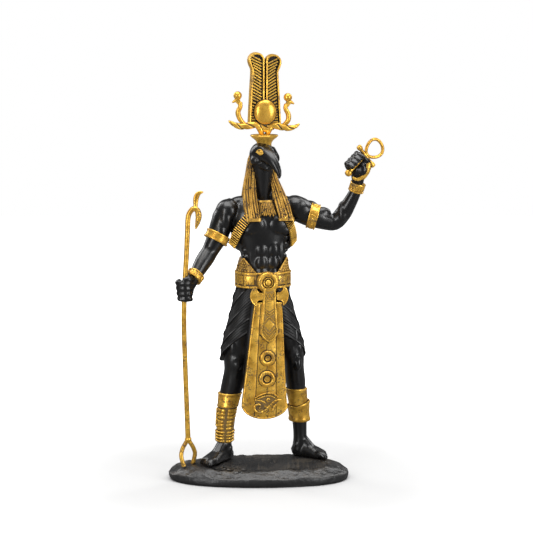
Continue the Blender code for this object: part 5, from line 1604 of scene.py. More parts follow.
@dataclass
class Girdle:
    """Belt with panels, scaled hip plates and the ringed buckle."""

    foot: float = 136.0
    head: float = 147.0
    half_x: float = 19.0
    half_y: float = 14.4
    centre_x: float = 4.5
    centre_y: float = -0.2
    panels: int = 12
    panel_turn: float = 26.8333
    panel_gap: float = 4.4
    first_bar: float = -71.0
    bar_shift: float = 1.6
    plate_proud_x: float = 1.9
    plate_proud_y: float = 2.2
    plate_rim: float = 0.7

    def build(self, shop: Workshop) -> None:
        """Makes the girdle's pieces."""
        self.belt(shop)
        for name, side in (("hip_plate_right", -1.0), ("hip_plate_left", 1.0)):
            self.hip_plate(shop, name, side)
        self.buckle(shop)

    def ring(self, height: float, proud: float) -> Station:
        """The belt's oval at a height, stood proud by so many millimetres."""
        return Station(spot(self.centre_x, self.centre_y, height),
                       heading(*RIGHTWARDS) * (self.half_x + proud) * MM,
                       heading(*FRONT_TO_BACK) * (self.half_y + proud) * MM)

    def belt(self, shop: Workshop) -> None:
        """The band with rolled edges, raised panels and pairs of upright bars, over a core painted dark
        as shade.
        """
        clay = Clay()
        # The core shows between rims, panels and bars, painted dark as shade.
        core = ((136.3, -1.5), (136.3, -0.15), (146.7, -0.15), (146.7, -1.5))
        clay.skin([self.ring(height, proud) for height, proud in core], sides=120, power=TORSO_POWER,
                  wash_and_shade=0.9)
        rim = ((0.0, -1.5), (0.0, 0.6), (0.3, 0.95), (1.2, 0.95), (1.5, 0.6), (1.5, -1.5))
        for foot in (self.foot, self.head - 1.5):
            clay.skin([self.ring(foot + height, proud) for height, proud in rim], sides=120,
                      power=TORSO_POWER)
        belt_row = (self.centre_x, self.centre_y, 141.5, self.half_x, self.half_y)
        edges = [self.first_bar + self.panel_turn * index for index in range(self.panels + 1)]
        for start, end in zip(edges, edges[1:]):
            stations = []
            for index in range(9):
                angle = start + self.panel_gap + (end - start - 2.0 * self.panel_gap) * index / 8.0
                place = ring_point(belt_row, angle, 0.1, TORSO_POWER)
                stations.append(Station(place, outwards(angle, TORSO_POWER) * 0.7 * MM, upright(3.0)))
            clay.skin(stations, sides=16, power=6.0)
        for angle in edges[:-1]:
            for shift in (-self.bar_shift, self.bar_shift):
                place = ring_point(belt_row, angle + shift, 0.1, TORSO_POWER)
                out = outwards(angle + shift, TORSO_POWER)
                along = out.cross(Vector(UPWARDS)).normalized()
                stations = [Station(place + upright(height), along * 0.42 * MM, out * 0.72 * MM)
                            for height in (-3.7, 3.7)]
                clay.skin(stations, sides=10, power=3.0)
        shop.piece("belt", clay.crisp(), Finish.GOLD)

    def plate_row(self, height: float) -> list[float]:
        """The hip plate's oval round the trunk at a height."""
        x, y, _, wide, deep = row_at(TORSO_ROWS, height)
        return [x, y, height, wide + self.plate_proud_x, deep + self.plate_proud_y]

    def hip_plate(self, shop: Workshop, name: str, side: float) -> None:
        """A pointed plate over the hip, cut from a shell round the trunk, with rim and scales."""
        clay = Clay()
        shell = Clay()
        rows = [self.plate_row(height) for height in (143.0, 146.0, 149.0, 152.0, 155.0, 158.0)]
        shell.limb(rows, sides=96, power=TORSO_POWER, steps=2)
        centre = 4.8
        apex = Vector((centre + side * 15.4, 0.0, 156.4))
        inner = Vector((centre + side * 7.6, 0.0, 146.2))
        outer = Vector((centre + side * 21.4, 0.0, 146.0))
        below = inner + Vector((0.0, 0.0, -9.0))
        for first, second, hand in ((inner, apex, -side), (apex, outer, side), (below, inner, -side)):
            run = second - first
            normal = Vector((-run.z, 0.0, run.x)) * (-1.0 if hand > 0.0 else 1.0)
            if normal.z < 0.0 and first.x != second.x:
                normal.negate()
            if first.x == second.x:
                normal = Vector((-side, 0.0, 0.0))
            cut = bmesh.ops.bisect_plane(
                shell.mesh, geom=shell.mesh.verts[:] + shell.mesh.edges[:] + shell.mesh.faces[:],
                dist=1e-7, plane_co=spot(first.x, 0.0, first.z), plane_no=heading(*normal),
                clear_outer=True)
            rim = [item for item in cut["geom_cut"] if isinstance(item, bmesh.types.BMEdge)]
            bmesh.ops.contextual_create(shell.mesh, geom=rim)
        # The shell under the scales gets a little painted shade.
        clay.add(shell.mesh, wash_and_shade=0.35)
        for line in ((inner, apex), (apex, outer)):
            path = []
            for index in range(9):
                point = line[0].lerp(line[1], index / 8.0)
                shell_row = self.plate_row(point.z)
                across = max(-1.0, min(1.0, (point.x - shell_row[0]) / shell_row[3]))
                cosine = math.copysign(abs(across) ** (TORSO_POWER / 2.0), across)
                angle = -math.degrees(math.acos(cosine))
                place = ring_point(shell_row, angle, 0.0, TORSO_POWER)
                path.append((place, outwards(angle, TORSO_POWER)))
            stations = []
            for index, (place, out) in enumerate(path):
                ahead = (path[min(index + 1, 8)][0] - path[max(index - 1, 0)][0]).normalized()
                stations.append(Station(place, ahead.cross(out).normalized() * self.plate_rim * MM,
                                        out * self.plate_rim * MM))
            clay.skin(stations, sides=12)
        for level in range(5):
            height = 148.0 + 1.75 * level
            shell_row = self.plate_row(height)
            share = (height - inner.z) / (apex.z - inner.z)
            low = inner.x + (apex.x - inner.x) * share
            for index in range(9):
                angle = -90.0 + side * (22.0 + 9.0 * index + 4.5 * (level % 2))
                place = ring_point(shell_row, angle, 0.0, TORSO_POWER)
                back = FIGURE_TURN.inverted() @ (place - FIGURE_PLACE) / MM
                far = apex.x + (outer.x - apex.x) * (1.0 - share)
                if side * (back.x - low) < 1.3 or side * (far - back.x) < 0.6:
                    continue
                out = outwards(angle, TORSO_POWER)
                along = out.cross(Vector(UPWARDS)).normalized()
                stations = [
                    Station(place + upright(lift), along * size * MM, out * (0.2 + 0.3 * size) * MM)
                    for lift, size in ((0.9, 0.3), (0.5, 0.9), (-0.3, 1.1), (-0.8, 0.6), (-1.0, 0.15))]
                clay.skin(stations, sides=10)
        shop.piece(name, clay.crisp(), Finish.DULL_GOLD, sharp=50.0)

    def buckle(self, shop: Workshop) -> None:
        """The round buckle: two rings round a boss, with a notch through the outer ring drawn as a bar
        painted dark as shade.
        """
        clay = Clay()
        clay.turned((4.8, -1.8, 140.8), FORWARDS, [
            (12.0, 7.2), (17.2, 7.4), (17.9, 7.3), (18.5, 6.6), (18.8, 5.7), (18.6, 4.8), (18.1, 4.25),
            (17.3, 4.05), (17.3, 3.75), (18.0, 3.55), (18.3, 3.2), (18.2, 2.85), (17.5, 2.6),
            (17.2, 2.3), (18.1, 2.05), (18.7, 1.7), (19.0, 1.1), (19.1, 0.4),
        ], sides=72)
        # The notch is a dark bar: painted shade.
        clay.bar((7.2, -19.7, 144.4), (8.8, -19.4, 147.0), 0.34, 0.75, wash_and_shade=1.0)
        clay.bar((6.1, -19.5, 143.6), (7.1, -19.7, 145.3), 0.3, 0.6)
        shop.piece("buckle", clay.crisp(), Finish.GOLD, sharp=50.0)


APRON_TOP = 131.0
APRON_SLOPE = 3.4 / 86.0


def apron_fall(z: float) -> float:
    """How far the apron's face comes forward at this height, as an amount added to y."""
    return -max(0.0, APRON_TOP - z) * APRON_SLOPE


@dataclass
class Apron:
    """Long gold apron: side and middle panels, pointed strip, crescents, ring bosses and the eye."""

    face: float = -19.4
    thickness: float = 3.9

    def build(self, shop: Workshop) -> None:
        """Makes the apron's pieces."""
        self.panel(shop)
        self.strip(shop)
        self.crescents(shop)
        self.bosses(shop)
        self.eye(shop)

    def edge(self, side: float, z: float) -> float:
        """x of the apron's left or right edge at a height."""
        rows = ((-14.6, 17.9, 52.0), (-13.4, 17.2, 62.0), (-11.0, 16.2, 80.0), (-7.6, 15.4, 106.0),
                (-4.2, 14.3, 131.0))
        for low, high in zip(rows, rows[1:]):
            if z <= high[2]:
                share = max(0.0, (z - low[2]) / (high[2] - low[2]))
                column = 0 if side < 0.0 else 1
                return low[column] + (high[column] - low[column]) * share
        return rows[-1][0 if side < 0.0 else 1]

    def groove(self, side: float, z: float) -> float:
        """x of the incised line on each side of the middle."""
        share = (z - 45.0) / 60.0
        return -5.6 + 3.7 * share if side < 0.0 else 9.8 + 0.5 * share

    def foot(self, x: float, inset: float) -> float:
        """z of the apron's rounded lower edge."""
        across = max(-1.0, min(1.0, (x - 2.1) / (16.4 - inset)))
        bulge = 1.0 - math.sqrt(1.0 - across * across * 0.96)
        return 44.8 + inset + (9.4 - inset * 0.4) * bulge * 1.12

    def panel(self, shop: Workshop) -> None:
        """A backing plate painted dark as shade where it shows in the incised lines, three panels with
        those lines between them, and a raised edge.
        """
        clay = Clay()
        heights = [126.4, 120.0, 110.0, 100.0, 90.0, 80.0, 70.0, 62.0, 56.0]

        def down(side: float, inset: float) -> list[tuple[float, float]]:
            """Points down one edge."""
            return [(self.edge(side, z) - side * inset, z) for z in heights]

        def lower(inset: float, start: float, end: float, count: int) -> list[tuple[float, float]]:
            """Points along the rounded foot from x to x."""
            result = []
            for index in range(count):
                x = start + (end - start) * index / (count - 1)
                result.append((x, self.foot(x, inset)))
            return result

        whole = down(-1.0, 0.0) + lower(0.0, -14.2, 18.3, 25) + list(reversed(down(1.0, 0.0)))
        # The backing shows in the incised lines, painted dark as shade.
        clay.plate(whole, self.face + 0.5, self.face + self.thickness, bevel=0.0, fall=apron_fall,
                   wash_and_shade=0.9)
        left = down(-1.0, 0.5) + lower(0.5, -13.2, -5.9, 8)
        left += [(self.groove(-1.0, z) - 0.28, z) for z in reversed(heights)]
        middle = [(self.groove(-1.0, z) + 0.28, z) for z in heights] + lower(0.5, -5.2, 9.5, 10)
        middle += [(self.groove(1.0, z) - 0.28, z) for z in reversed(heights)]
        right = [(self.groove(1.0, z) + 0.28, z) for z in heights] + lower(0.5, 10.1, 17.3, 8)
        right += list(reversed(down(1.0, 0.5)))
        for outline in (left, middle, right):
            clay.plate(outline, self.face, self.face + 1.6, bevel=0.22, fall=apron_fall)
        edge = [spot(x, self.face + 0.2 + apron_fall(z), z) for x, z in
                down(-1.0, 0.45) + lower(0.4, -13.6, 17.7, 31) + list(reversed(down(1.0, 0.45)))]
        clay.hoop(edge, heading(*FORWARDS), 0.62, 0.72)
        for start, end in ((98.0, 93.4), (82.0, 79.2), (67.6, 62.6), (47.4, 45.2)):
            clay.bar((3.8, self.face - 0.02 + apron_fall(start), start),
                     (3.3, self.face - 0.02 + apron_fall(end), end), 0.22, 0.12, wash_and_shade=1.0)
        shop.piece("apron_panel", clay.crisp(), Finish.GOLD)

    def strip(self, shop: Workshop) -> None:
        """The pointed strip with double borders and its lattice, chevrons and lozenge on a field painted
        dark as shade, with a painted shadow under its slanting edge.
        """
        clay = Clay()
        front = self.face - 0.9
        outline = [(9.8, 137.0), (1.4, 137.0), (0.9, 126.0), (0.0, 115.0), (-1.0, 104.6), (5.2, 98.6),
                   (11.2, 104.4), (10.8, 115.0), (10.2, 126.0)]
        clay.plate(outline, front, self.face + 2.6, bevel=0.25, fall=apron_fall)
        field = [(8.4, 136.4), (2.8, 136.4), (2.4, 126.0), (1.6, 115.0), (0.9, 105.6), (5.2, 101.2),
                 (9.5, 105.4), (9.0, 115.0), (8.7, 126.0)]
        # The field between the raised lines is painted dark as shade.
        clay.plate(field, front - 0.12, front + 0.8, bevel=0.0, fall=apron_fall, wash_and_shade=0.75)

        def border(points: Sequence[tuple[float, float]], width: float) -> None:
            """A raised line through pairs of x and z."""
            rows = [(x, front - 0.1 + apron_fall(z), z, 0.55, width) for x, z in points]
            clay.limb(rows, across=FRONT_TO_BACK, steps=3, sides=10, power=3.0)

        border([(2.1, 137.0), (1.7, 126.0), (0.8, 115.0), (-0.2, 104.9), (5.2, 99.8), (10.4, 104.7),
                (9.9, 115.0), (9.4, 126.0), (9.1, 137.0)], 0.62)
        border([(3.0, 128.6), (8.4, 128.4)], 0.35)
        for shift in (0.0, 2.75):
            border([(2.9 + shift, 129.2), (5.6 + shift, 133.6)], 0.36)
            border([(5.6 + shift, 129.2), (2.9 + shift, 133.6)], 0.36)
        clay.plate([(2.6, 128.0), (8.4, 127.8), (8.5, 122.6), (5.5, 120.6), (2.5, 122.6)], front - 0.35,
                   front + 0.4, bevel=0.2, fall=apron_fall)
        for drop in (0.0, 1.7):
            border([(2.4, 121.6 - drop), (5.4, 119.2 - drop), (8.6, 121.6 - drop)], 0.34)
        border([(1.8, 113.0), (5.2, 116.6), (8.9, 113.2)], 0.34)
        clay.plate([(5.2, 115.2), (8.9, 111.4), (5.2, 107.2), (1.4, 111.2)], front - 0.4, front + 0.4,
                   bevel=0.2, fall=apron_fall)
        border([(1.2, 109.4), (5.1, 105.4), (9.2, 109.6)], 0.34)
        border([(1.0, 107.4), (5.1, 103.4), (9.6, 107.6)], 0.34)
        border([(2.6, 104.6), (5.8, 101.8)], 0.3)
        border([(7.8, 104.8), (4.6, 101.6)], 0.3)
        # A painted shadow: a dark stroke under the strip's lower left edge.
        low, high = self.face - 0.1 + apron_fall(104.0), self.face - 0.1 + apron_fall(98.0)
        clay.bar((-1.5, low, 104.3), (5.1, high, 98.3), 0.4, 0.3, wash_and_shade=1.0)
        shop.piece("apron_strip", clay.crisp(), Finish.GOLD)

    def crescents(self, shop: Workshop) -> None:
        """The two crescents and the link that carries them."""
        clay = Clay()
        front = self.face - 0.7
        left = [(-3.7, 137.8), (-5.9, 136.1), (-7.2, 133.8), (-7.6, 131.3), (-7.2, 128.9), (-5.9, 126.6),
                (-3.7, 124.9), (-3.8, 126.8), (-3.0, 128.2), (-1.6, 129.0), (0.6, 129.3), (0.6, 133.1),
                (-1.4, 133.5), (-2.8, 134.5), (-3.5, 136.0)]
        right = [(15.9, 137.7), (17.4, 136.0), (18.4, 133.8), (18.7, 131.2), (18.3, 128.8),
                 (17.2, 126.6), (15.4, 124.8), (15.3, 126.6), (14.6, 128.0), (13.2, 128.8),
                 (11.2, 129.1), (11.2, 133.1), (13.4, 133.4), (14.8, 134.5), (15.6, 136.0)]
        for shape in (left, right):
            curve = [(x, z) for x, z in between([*shape, shape[0]], 3)[:-1]]
            clay.plate(curve, front, front + 3.0, bevel=0.45, segments=3)
            clay.hoop([spot(x, front, z) for x, z in curve], heading(*FORWARDS), 0.4, 0.4, sides=8)
        for x in (0.3, 11.5):
            clay.bar((x, front + 0.6, 129.0), (x, front + 0.6, 133.4), 0.7, 0.9, power=3.0)
        clay.bar((-2.0, front + 1.6, 131.2), (13.8, front + 1.6, 131.0), 1.9, 0.9, power=5.0)
        shop.piece("crescents", clay.crisp(), Finish.GOLD)

    def bosses(self, shop: Workshop) -> None:
        """The two ring bosses under the strip, each with a dark ring round it painted as its shadow."""
        clay = Clay()
        for x, z, radius in ((4.1, 87.7, 5.5), (3.6, 73.0, 5.9)):
            face = self.face + apron_fall(z)
            clay.turned((x, face, z), FORWARDS, [
                (-1.6, radius), (0.3, radius), (0.9, radius - 0.2), (1.35, radius - 0.6),
                (1.6, radius - 1.2), (1.6, radius - 1.8), (1.3, radius - 2.4), (0.8, radius - 2.8),
                (-0.2, radius - 2.95), (-0.3, radius - 3.45), (0.5, radius - 3.6), (0.9, radius - 3.9),
                (0.8, radius - 4.25), (0.3, radius - 4.45), (0.4, radius - 4.8),
            ], sides=56)
            # A painted shadow: a dark ring just wider than the boss, behind it.
            clay.turned((x, face, z), FORWARDS, [(-0.8, radius + 0.45), (0.2, radius + 0.45)], sides=56,
                        wash_and_shade=1.0)
        shop.piece("ring_bosses", clay.crisp(), Finish.GOLD, sharp=50.0)

    def eye(self, shop: Workshop) -> None:
        """The protective eye in raised strokes over a dark ground."""
        clay = Clay()
        face = self.face + apron_fall(56.0)

        def stroke(points: Sequence[tuple[float, float]], width: float = 0.72,
                   ends: float = 0.45) -> None:
            """A raised line through pairs of x and z."""
            rows = []
            for index, (x, z) in enumerate(points):
                size = width * (ends if index in (0, len(points) - 1) else 1.0)
                rows.append((x, self.face + apron_fall(z) - 0.35, z, 0.8, size))
            clay.limb(rows, across=FRONT_TO_BACK, steps=5, sides=12)

        stroke([(-5.2, 59.9), (-2.0, 61.4), (2.4, 63.0), (6.4, 62.9), (8.8, 62.0), (11.3, 60.2)], 0.62)
        stroke([(-5.2, 58.9), (-1.6, 60.0), (2.6, 61.2), (6.6, 60.8), (10.4, 58.9)], 0.5)
        stroke([(-5.2, 58.6), (-1.6, 58.0), (0.8, 57.0), (2.6, 55.8)], 0.5)
        stroke([(-1.9, 52.6), (-1.3, 54.0), (-2.5, 55.2), (-4.7, 54.8), (-5.6, 52.6), (-4.4, 50.4),
                (-1.4, 49.5), (1.6, 50.8), (5.6, 54.5), (8.6, 56.9), (10.9, 57.9), (13.7, 58.0)], 0.8)
        stroke([(10.7, 55.4), (9.2, 54.2), (8.0, 52.0), (7.2, 49.6)], 0.85, 0.25)
        clay.turned((4.3, face, 58.2), FORWARDS, [(-0.6, 1.6), (0.8, 1.55), (1.15, 1.0)], sides=32)
        clay.turned((4.3, face, 58.2), FORWARDS, [(0.4, 0.55), (1.25, 0.45)], sides=20, wash_and_shade=0.9)
        clay.turned((3.2, face, 57.6), FORWARDS, [(-0.6, 8.4), (0.16, 8.4)], sides=48, squash=0.42,
                    wash_and_shade=0.85)
        clay.turned((-2.4, face, 52.6), FORWARDS, [(-0.6, 4.0), (0.18, 4.0)], sides=40, squash=0.95,
                    wash_and_shade=0.9)
        shop.piece("protective_eye", clay.crisp(), Finish.GOLD, sharp=70.0)


@dataclass
class Greaves:
    """Wrapped greave with ankle rings on one leg, smooth greave with a cuff on the other."""

    wrap_pitch: float = 2.75
    ring_pitch: float = 2.15
    wraps_top: float = 48.6
    rings_top: float = 33.4
    rings_foot: float = 24.4

    TURNS = ((-96.0, -8.0), (-184.0, -112.0), (-8.0, 64.0), (64.0, 130.0), (130.0, 176.0))

    def build(self, shop: Workshop) -> None:
        """Makes both greaves."""
        self.wrapped(shop)
        self.cuffed(shop)

    def sleeve(self, rows: Sequence[Row], profile: Sequence[tuple[float, float]]) -> list[Station]:
        """Stations round a leg: the profile is pairs of height and how far it stands proud."""
        stations = []
        for height, proud in profile:
            x, y, _, wide, deep = row_at(rows, height)
            stations.append(Station(spot(x, y, height), heading(*RIGHTWARDS) * (wide + proud) * MM,
                                    heading(*FRONT_TO_BACK) * (deep + proud) * MM))
        return stations

    def wrapped(self, shop: Workshop) -> None:
        """A plain band over two columns of wraps, and rings at the ankle, over a core painted dark as
        shade.
        """
        clay = Clay()
        profile = [(60.4, -1.5), (60.4, 0.9), (60.1, 1.3), (59.2, 1.3), (58.9, 0.8), (58.5, 0.75),
                   (58.2, 1.1), (51.6, 1.1), (51.3, 1.35), (50.4, 1.35), (50.1, 0.8), (50.1, -1.5)]
        clay.skin(self.sleeve(LEG_RIGHT, profile), sides=72)
        # The core shows between the wraps, painted dark as shade.
        clay.skin(self.sleeve(LEG_RIGHT, [(51.0, -1.5), (51.0, 0.0), (24.0, 0.3), (24.0, -1.5)]),
                  sides=48, wash_and_shade=0.85)
        level = self.wraps_top
        number = 0
        while level > self.rings_top:
            for start, end in self.TURNS:
                self.wrap(clay, level + 0.3 * math.sin(number * 2.1 + start), start, end, 1.35, 1.15)
            level -= self.wrap_pitch
            number += 1
        while level > self.rings_foot:
            self.wrap(clay, level, -88.0, 118.0, 0.95, 1.75)
            self.wrap(clay, level + 0.25, -262.0, -104.0, 0.95, 1.75)
            level -= self.ring_pitch
        for height in (46.6, 42.2, 37.8):
            for way in (-1.0, 1.0):
                stations = []
                for index in range(5):
                    share = index / 4.0
                    row = row_at(LEG_RIGHT, height + way * (2.0 * share - 1.0) * 2.0)
                    angle = -196.0 + 34.0 * share
                    stations.append((ring_point(row, angle, 1.3, 2.0), outwards(angle, 2.0)))
                rings = []
                for index, (place, out) in enumerate(stations):
                    ahead = stations[min(index + 1, 4)][0] - stations[max(index - 1, 0)][0]
                    ahead.normalize()
                    rings.append(Station(place, ahead.cross(out) * 0.55 * MM, out * 0.5 * MM))
                clay.skin(rings, sides=10)
        shop.piece("wrapped_greave", clay.crisp(), Finish.GOLD, sharp=60.0)

    def wrap(self, clay: Clay, level: float, start: float, end: float, half: float,
             proud: float) -> None:
        """A padded turn of cloth from one angle to another round the leg."""
        stations = []
        count = 16
        for index in range(count + 1):
            share = index / count
            angle = start + (end - start) * share
            swell = math.sin(math.pi * share) ** 0.35 if 0.0 < share < 1.0 else 0.0
            tilt = 0.5 * math.sin(math.radians(angle + 40.0))
            row = row_at(LEG_RIGHT, level + tilt)
            place = ring_point(row, angle, proud * 0.35 - 0.5 * (1.0 - swell), 2.0)
            stations.append(Station(place, upright(half * (0.75 + 0.25 * swell)),
                                    outwards(angle, 2.0) * proud * 0.75 * (0.5 + 0.5 * swell) * MM))
        clay.skin(stations, sides=14)

    def cuffed(self, shop: Workshop) -> None:
        """A tall smooth greave and the wider cuff round its foot, whose top edge slants."""
        clay = Clay()
        profile = [(61.6, -1.5), (61.6, 0.7), (61.3, 1.0), (60.6, 1.05), (60.2, 0.85), (52.0, 0.9),
                   (45.0, 0.9), (45.0, -1.5)]
        clay.skin(self.sleeve(LEG_LEFT, profile), sides=72)
        profile = [(46.6, -1.0), (49.4, 1.2), (49.8, 2.1), (49.5, 2.45), (48.8, 2.5), (48.2, 2.2),
                   (44.0, 2.0), (40.2, 2.1), (39.4, 2.4), (38.2, 2.6), (37.4, 2.4), (37.0, 1.8),
                   (37.2, -1.0)]
        stations = self.sleeve(LEG_LEFT, profile)
        before = len(clay.mesh.verts)
        clay.skin(stations, sides=72)
        clay.mesh.verts.ensure_lookup_table()
        for vert in clay.mesh.verts[before:]:
            top = max(0.0, (vert.co.z / MM - 45.0) / 4.5)
            side = (vert.co - spot(30.6, 2.6, 50.0)).dot(heading(*RIGHTWARDS)) / MM
            vert.co.z += top * max(-0.8, min(2.6, 0.34 * side)) * MM
        shop.piece("cuffed_greave", clay.crisp(), Finish.GOLD, sharp=60.0)


@dataclass
class Staff:
    """The gold staff: forked foot, slightly bent shaft and crooked head with a raised ear."""

    radius: float = 1.8
    prong: float = 1.5

    def build(self, shop: Workshop) -> None:
        """Makes the staff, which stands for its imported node."""
        clay = Clay()
        grip_x, grip_y, grip_z = STAFF_GRIP
        places = [(-50.6, -9.0, 27.0), (-51.6, -10.6, 52.0), (-53.0, -13.0, 85.0), (-53.9, -15.2, 112.0),
                  (grip_x, grip_y, grip_z), (-52.2, -16.6, 160.0), (-51.4, -16.6, 176.0),
                  (-50.9, -16.6, 186.6), (-49.4, -16.7, 191.2), (-46.8, -16.9, 193.4),
                  (-44.4, -17.0, 192.0), (-43.6, -17.2, 188.4), (-44.2, -17.4, 184.4),
                  (-45.2, -17.5, 181.2), (-45.7, -17.6, 179.2)]
        sizes = [1.0] * 9 + [1.05, 1.1, 1.2, 1.0, 0.6, 0.2]
        rows = [(*place, self.radius * size, self.radius * size) for place, size in zip(places, sizes)]

        def uneven(angle: float, share: float) -> float:
            """The shaft's hand-made unevenness."""
            return 1.0 + 0.035 * noise.noise(Vector((math.cos(angle), math.sin(angle), share * 60.0)))

        clay.limb(rows, across=FRONT_TO_BACK, steps=10, sides=24, carve=uneven)
        for points in ([(-50.6, -9.0, 29.4), (-52.6, -9.2, 26.4), (-54.6, -9.8, 23.0),
                        (-55.8, -10.8, 18.6), (-55.2, -11.4, 14.4), (-54.0, -11.8, 10.6)],
                       [(-50.6, -9.0, 29.4), (-48.8, -8.4, 26.4), (-46.8, -7.4, 23.0),
                        (-45.4, -6.2, 18.6), (-46.0, -5.8, 14.4), (-47.0, -5.4, 10.6)]):
            clay.limb([(*point, self.prong, self.prong) for point in points], across=FRONT_TO_BACK,
                      steps=6, sides=20)
        clay.limb([(-45.6, -16.8, 192.6, 1.3, 1.4), (-45.6, -16.7, 196.4, 1.1, 1.6),
                   (-45.3, -16.6, 200.2, 1.0, 1.9), (-44.2, -16.6, 203.0, 0.9, 1.8),
                   (-42.2, -16.6, 204.4, 0.8, 1.2), (-40.2, -16.6, 204.6, 0.4, 0.4)],
                  across=FRONT_TO_BACK, steps=6, sides=20)
        clay.ball((-44.6, -18.9, 184.4), (0.5, 0.5, 0.5), segments=12, wash_and_shade=1.0)
        clay.turned((-50.6, -9.0, 29.4), (-0.04, -0.06, 1.0),
                    [(-1.6, 1.6), (-1.2, 2.3), (0.6, 2.3), (1.2, 1.8)], sides=32)
        shop.piece("was_sceptre_shown", clay.crisp(), Finish.GOLD, replaces=("was_sceptre",), sharp=70.0)


@dataclass
class Ankh:
    """The gold ankh: knobbed shaft, flared arms and a pointed loop."""

    loop: float = 1.2
    loop_lean: float = math.radians(10.0)
    loop_middle: float = 7.8
    loop_length: float = 6.7
    loop_width: float = 6.1
    loop_taper: float = 0.22
    loop_points: int = 64

    def build(self, shop: Workshop) -> None:
        """Makes the ankh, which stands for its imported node."""
        clay = Clay()
        knob, cross, along = ANKH_KNOB, ANKH_CROSS, ANKH_ALONG
        rows = [(*(knob + along * lift), size, size) for lift, size in (
            (-2.4, 0.6), (-2.1, 1.5), (-1.3, 2.2), (-0.2, 2.45), (0.9, 2.3), (1.8, 1.7), (2.6, 1.3),
            (9.0, 1.25), (16.0, 1.3), (19.0, 1.4))]
        clay.limb(rows, across=FRONT_TO_BACK, steps=4, sides=24)
        first, second = Vector((68.0, -21.4, 235.4)), Vector((79.6, -19.0, 220.6))
        rows = []
        for share, size in ((0.0, 1.1), (0.02, 1.7), (0.07, 1.95), (0.14, 1.85), (0.19, 1.3),
                            (0.22, 1.5), (0.26, 1.2), (0.5, 1.35), (0.74, 1.2), (0.78, 1.5), (0.81, 1.3),
                            (0.86, 1.85), (0.93, 1.95), (0.98, 1.7), (1.0, 1.1)):
            rows.append((*first.lerp(second, share), size, size))
        clay.limb(rows, across=FRONT_TO_BACK, steps=4, sides=24)
        arm = (second - first).normalized()
        normal = along.cross(arm).normalized()
        reach = (along * math.cos(self.loop_lean) + arm * math.sin(self.loop_lean)).normalized()
        wide = normal.cross(reach).normalized()
        points = []
        for c, s in around(self.loop_points):
            along_loop = reach * (self.loop_middle - self.loop_length * c)
            across_loop = wide * self.loop_width * s * (1.0 - self.loop_taper * c)
            points.append(spot(*(cross + along_loop + across_loop)))
        clay.hoop(points, heading(*normal), self.loop * 0.95, self.loop, sides=16)
        shop.piece("ankh_shown", clay.crisp(), Finish.GOLD, replaces=("ankh",), sharp=70.0)


@dataclass
class Face:
    """The gold eye on the side of the ibis head, laid on the skin of the body."""

    body: bpy.types.Object

    def build(self, shop: Workshop) -> None:
        """Makes the eye."""
        mesh = self.body.data
        tree = BVHTree.FromPolygons([vert.co.copy() for vert in mesh.vertices],
                                    [tuple(face.vertices) for face in mesh.polygons])
        clay = Clay()
        self.line(clay, tree, [(-2.0, 231.6), (-0.6, 232.9), (0.8, 232.6), (1.6, 231.4)], 0.55, 0.0)
        self.line(clay, tree, [(-2.1, 231.4), (-0.8, 230.4), (0.6, 230.2), (1.7, 231.2)], 0.8, 0.0)
        self.line(clay, tree, [(-1.6, 231.4), (-0.2, 231.5), (1.3, 231.4)], 1.1, 0.0)
        self.line(clay, tree, [(-1.0, 232.0), (-0.4, 232.1), (0.1, 232.0)], 0.5, 1.0)
        shop.piece("gold_eye", clay.crisp(), Finish.GOLD, sharp=70.0)

    def line(self, clay: Clay, tree: BVHTree, points: Sequence[tuple[float, float]], width: float,
             wash_and_shade: float) -> None:
        """A raised line on the head through pairs of x and z, seen from the front."""
        ahead = heading(0.0, 1.0, 0.0)
        stations = []
        hits = []
        for x, z in between(points, 4):
            place, normal, _, _ = tree.ray_cast(spot(x, -60.0, z), ahead)
            if place is not None:
                hits.append((place, normal))
        for index, (place, normal) in enumerate(hits):
            run = (hits[min(index + 1, len(hits) - 1)][0] - hits[max(index - 1, 0)][0]).normalized()
            share = index / max(1, len(hits) - 1)
            size = width * (0.35 + 0.65 * math.sin(math.pi * min(0.95, max(0.05, share))))
            stations.append(Station(place, run.cross(normal).normalized() * size * MM,
                                    normal * (0.35 + 0.2 * wash_and_shade) * MM))
        clay.skin(stations, sides=10, wash_and_shade=wash_and_shade)


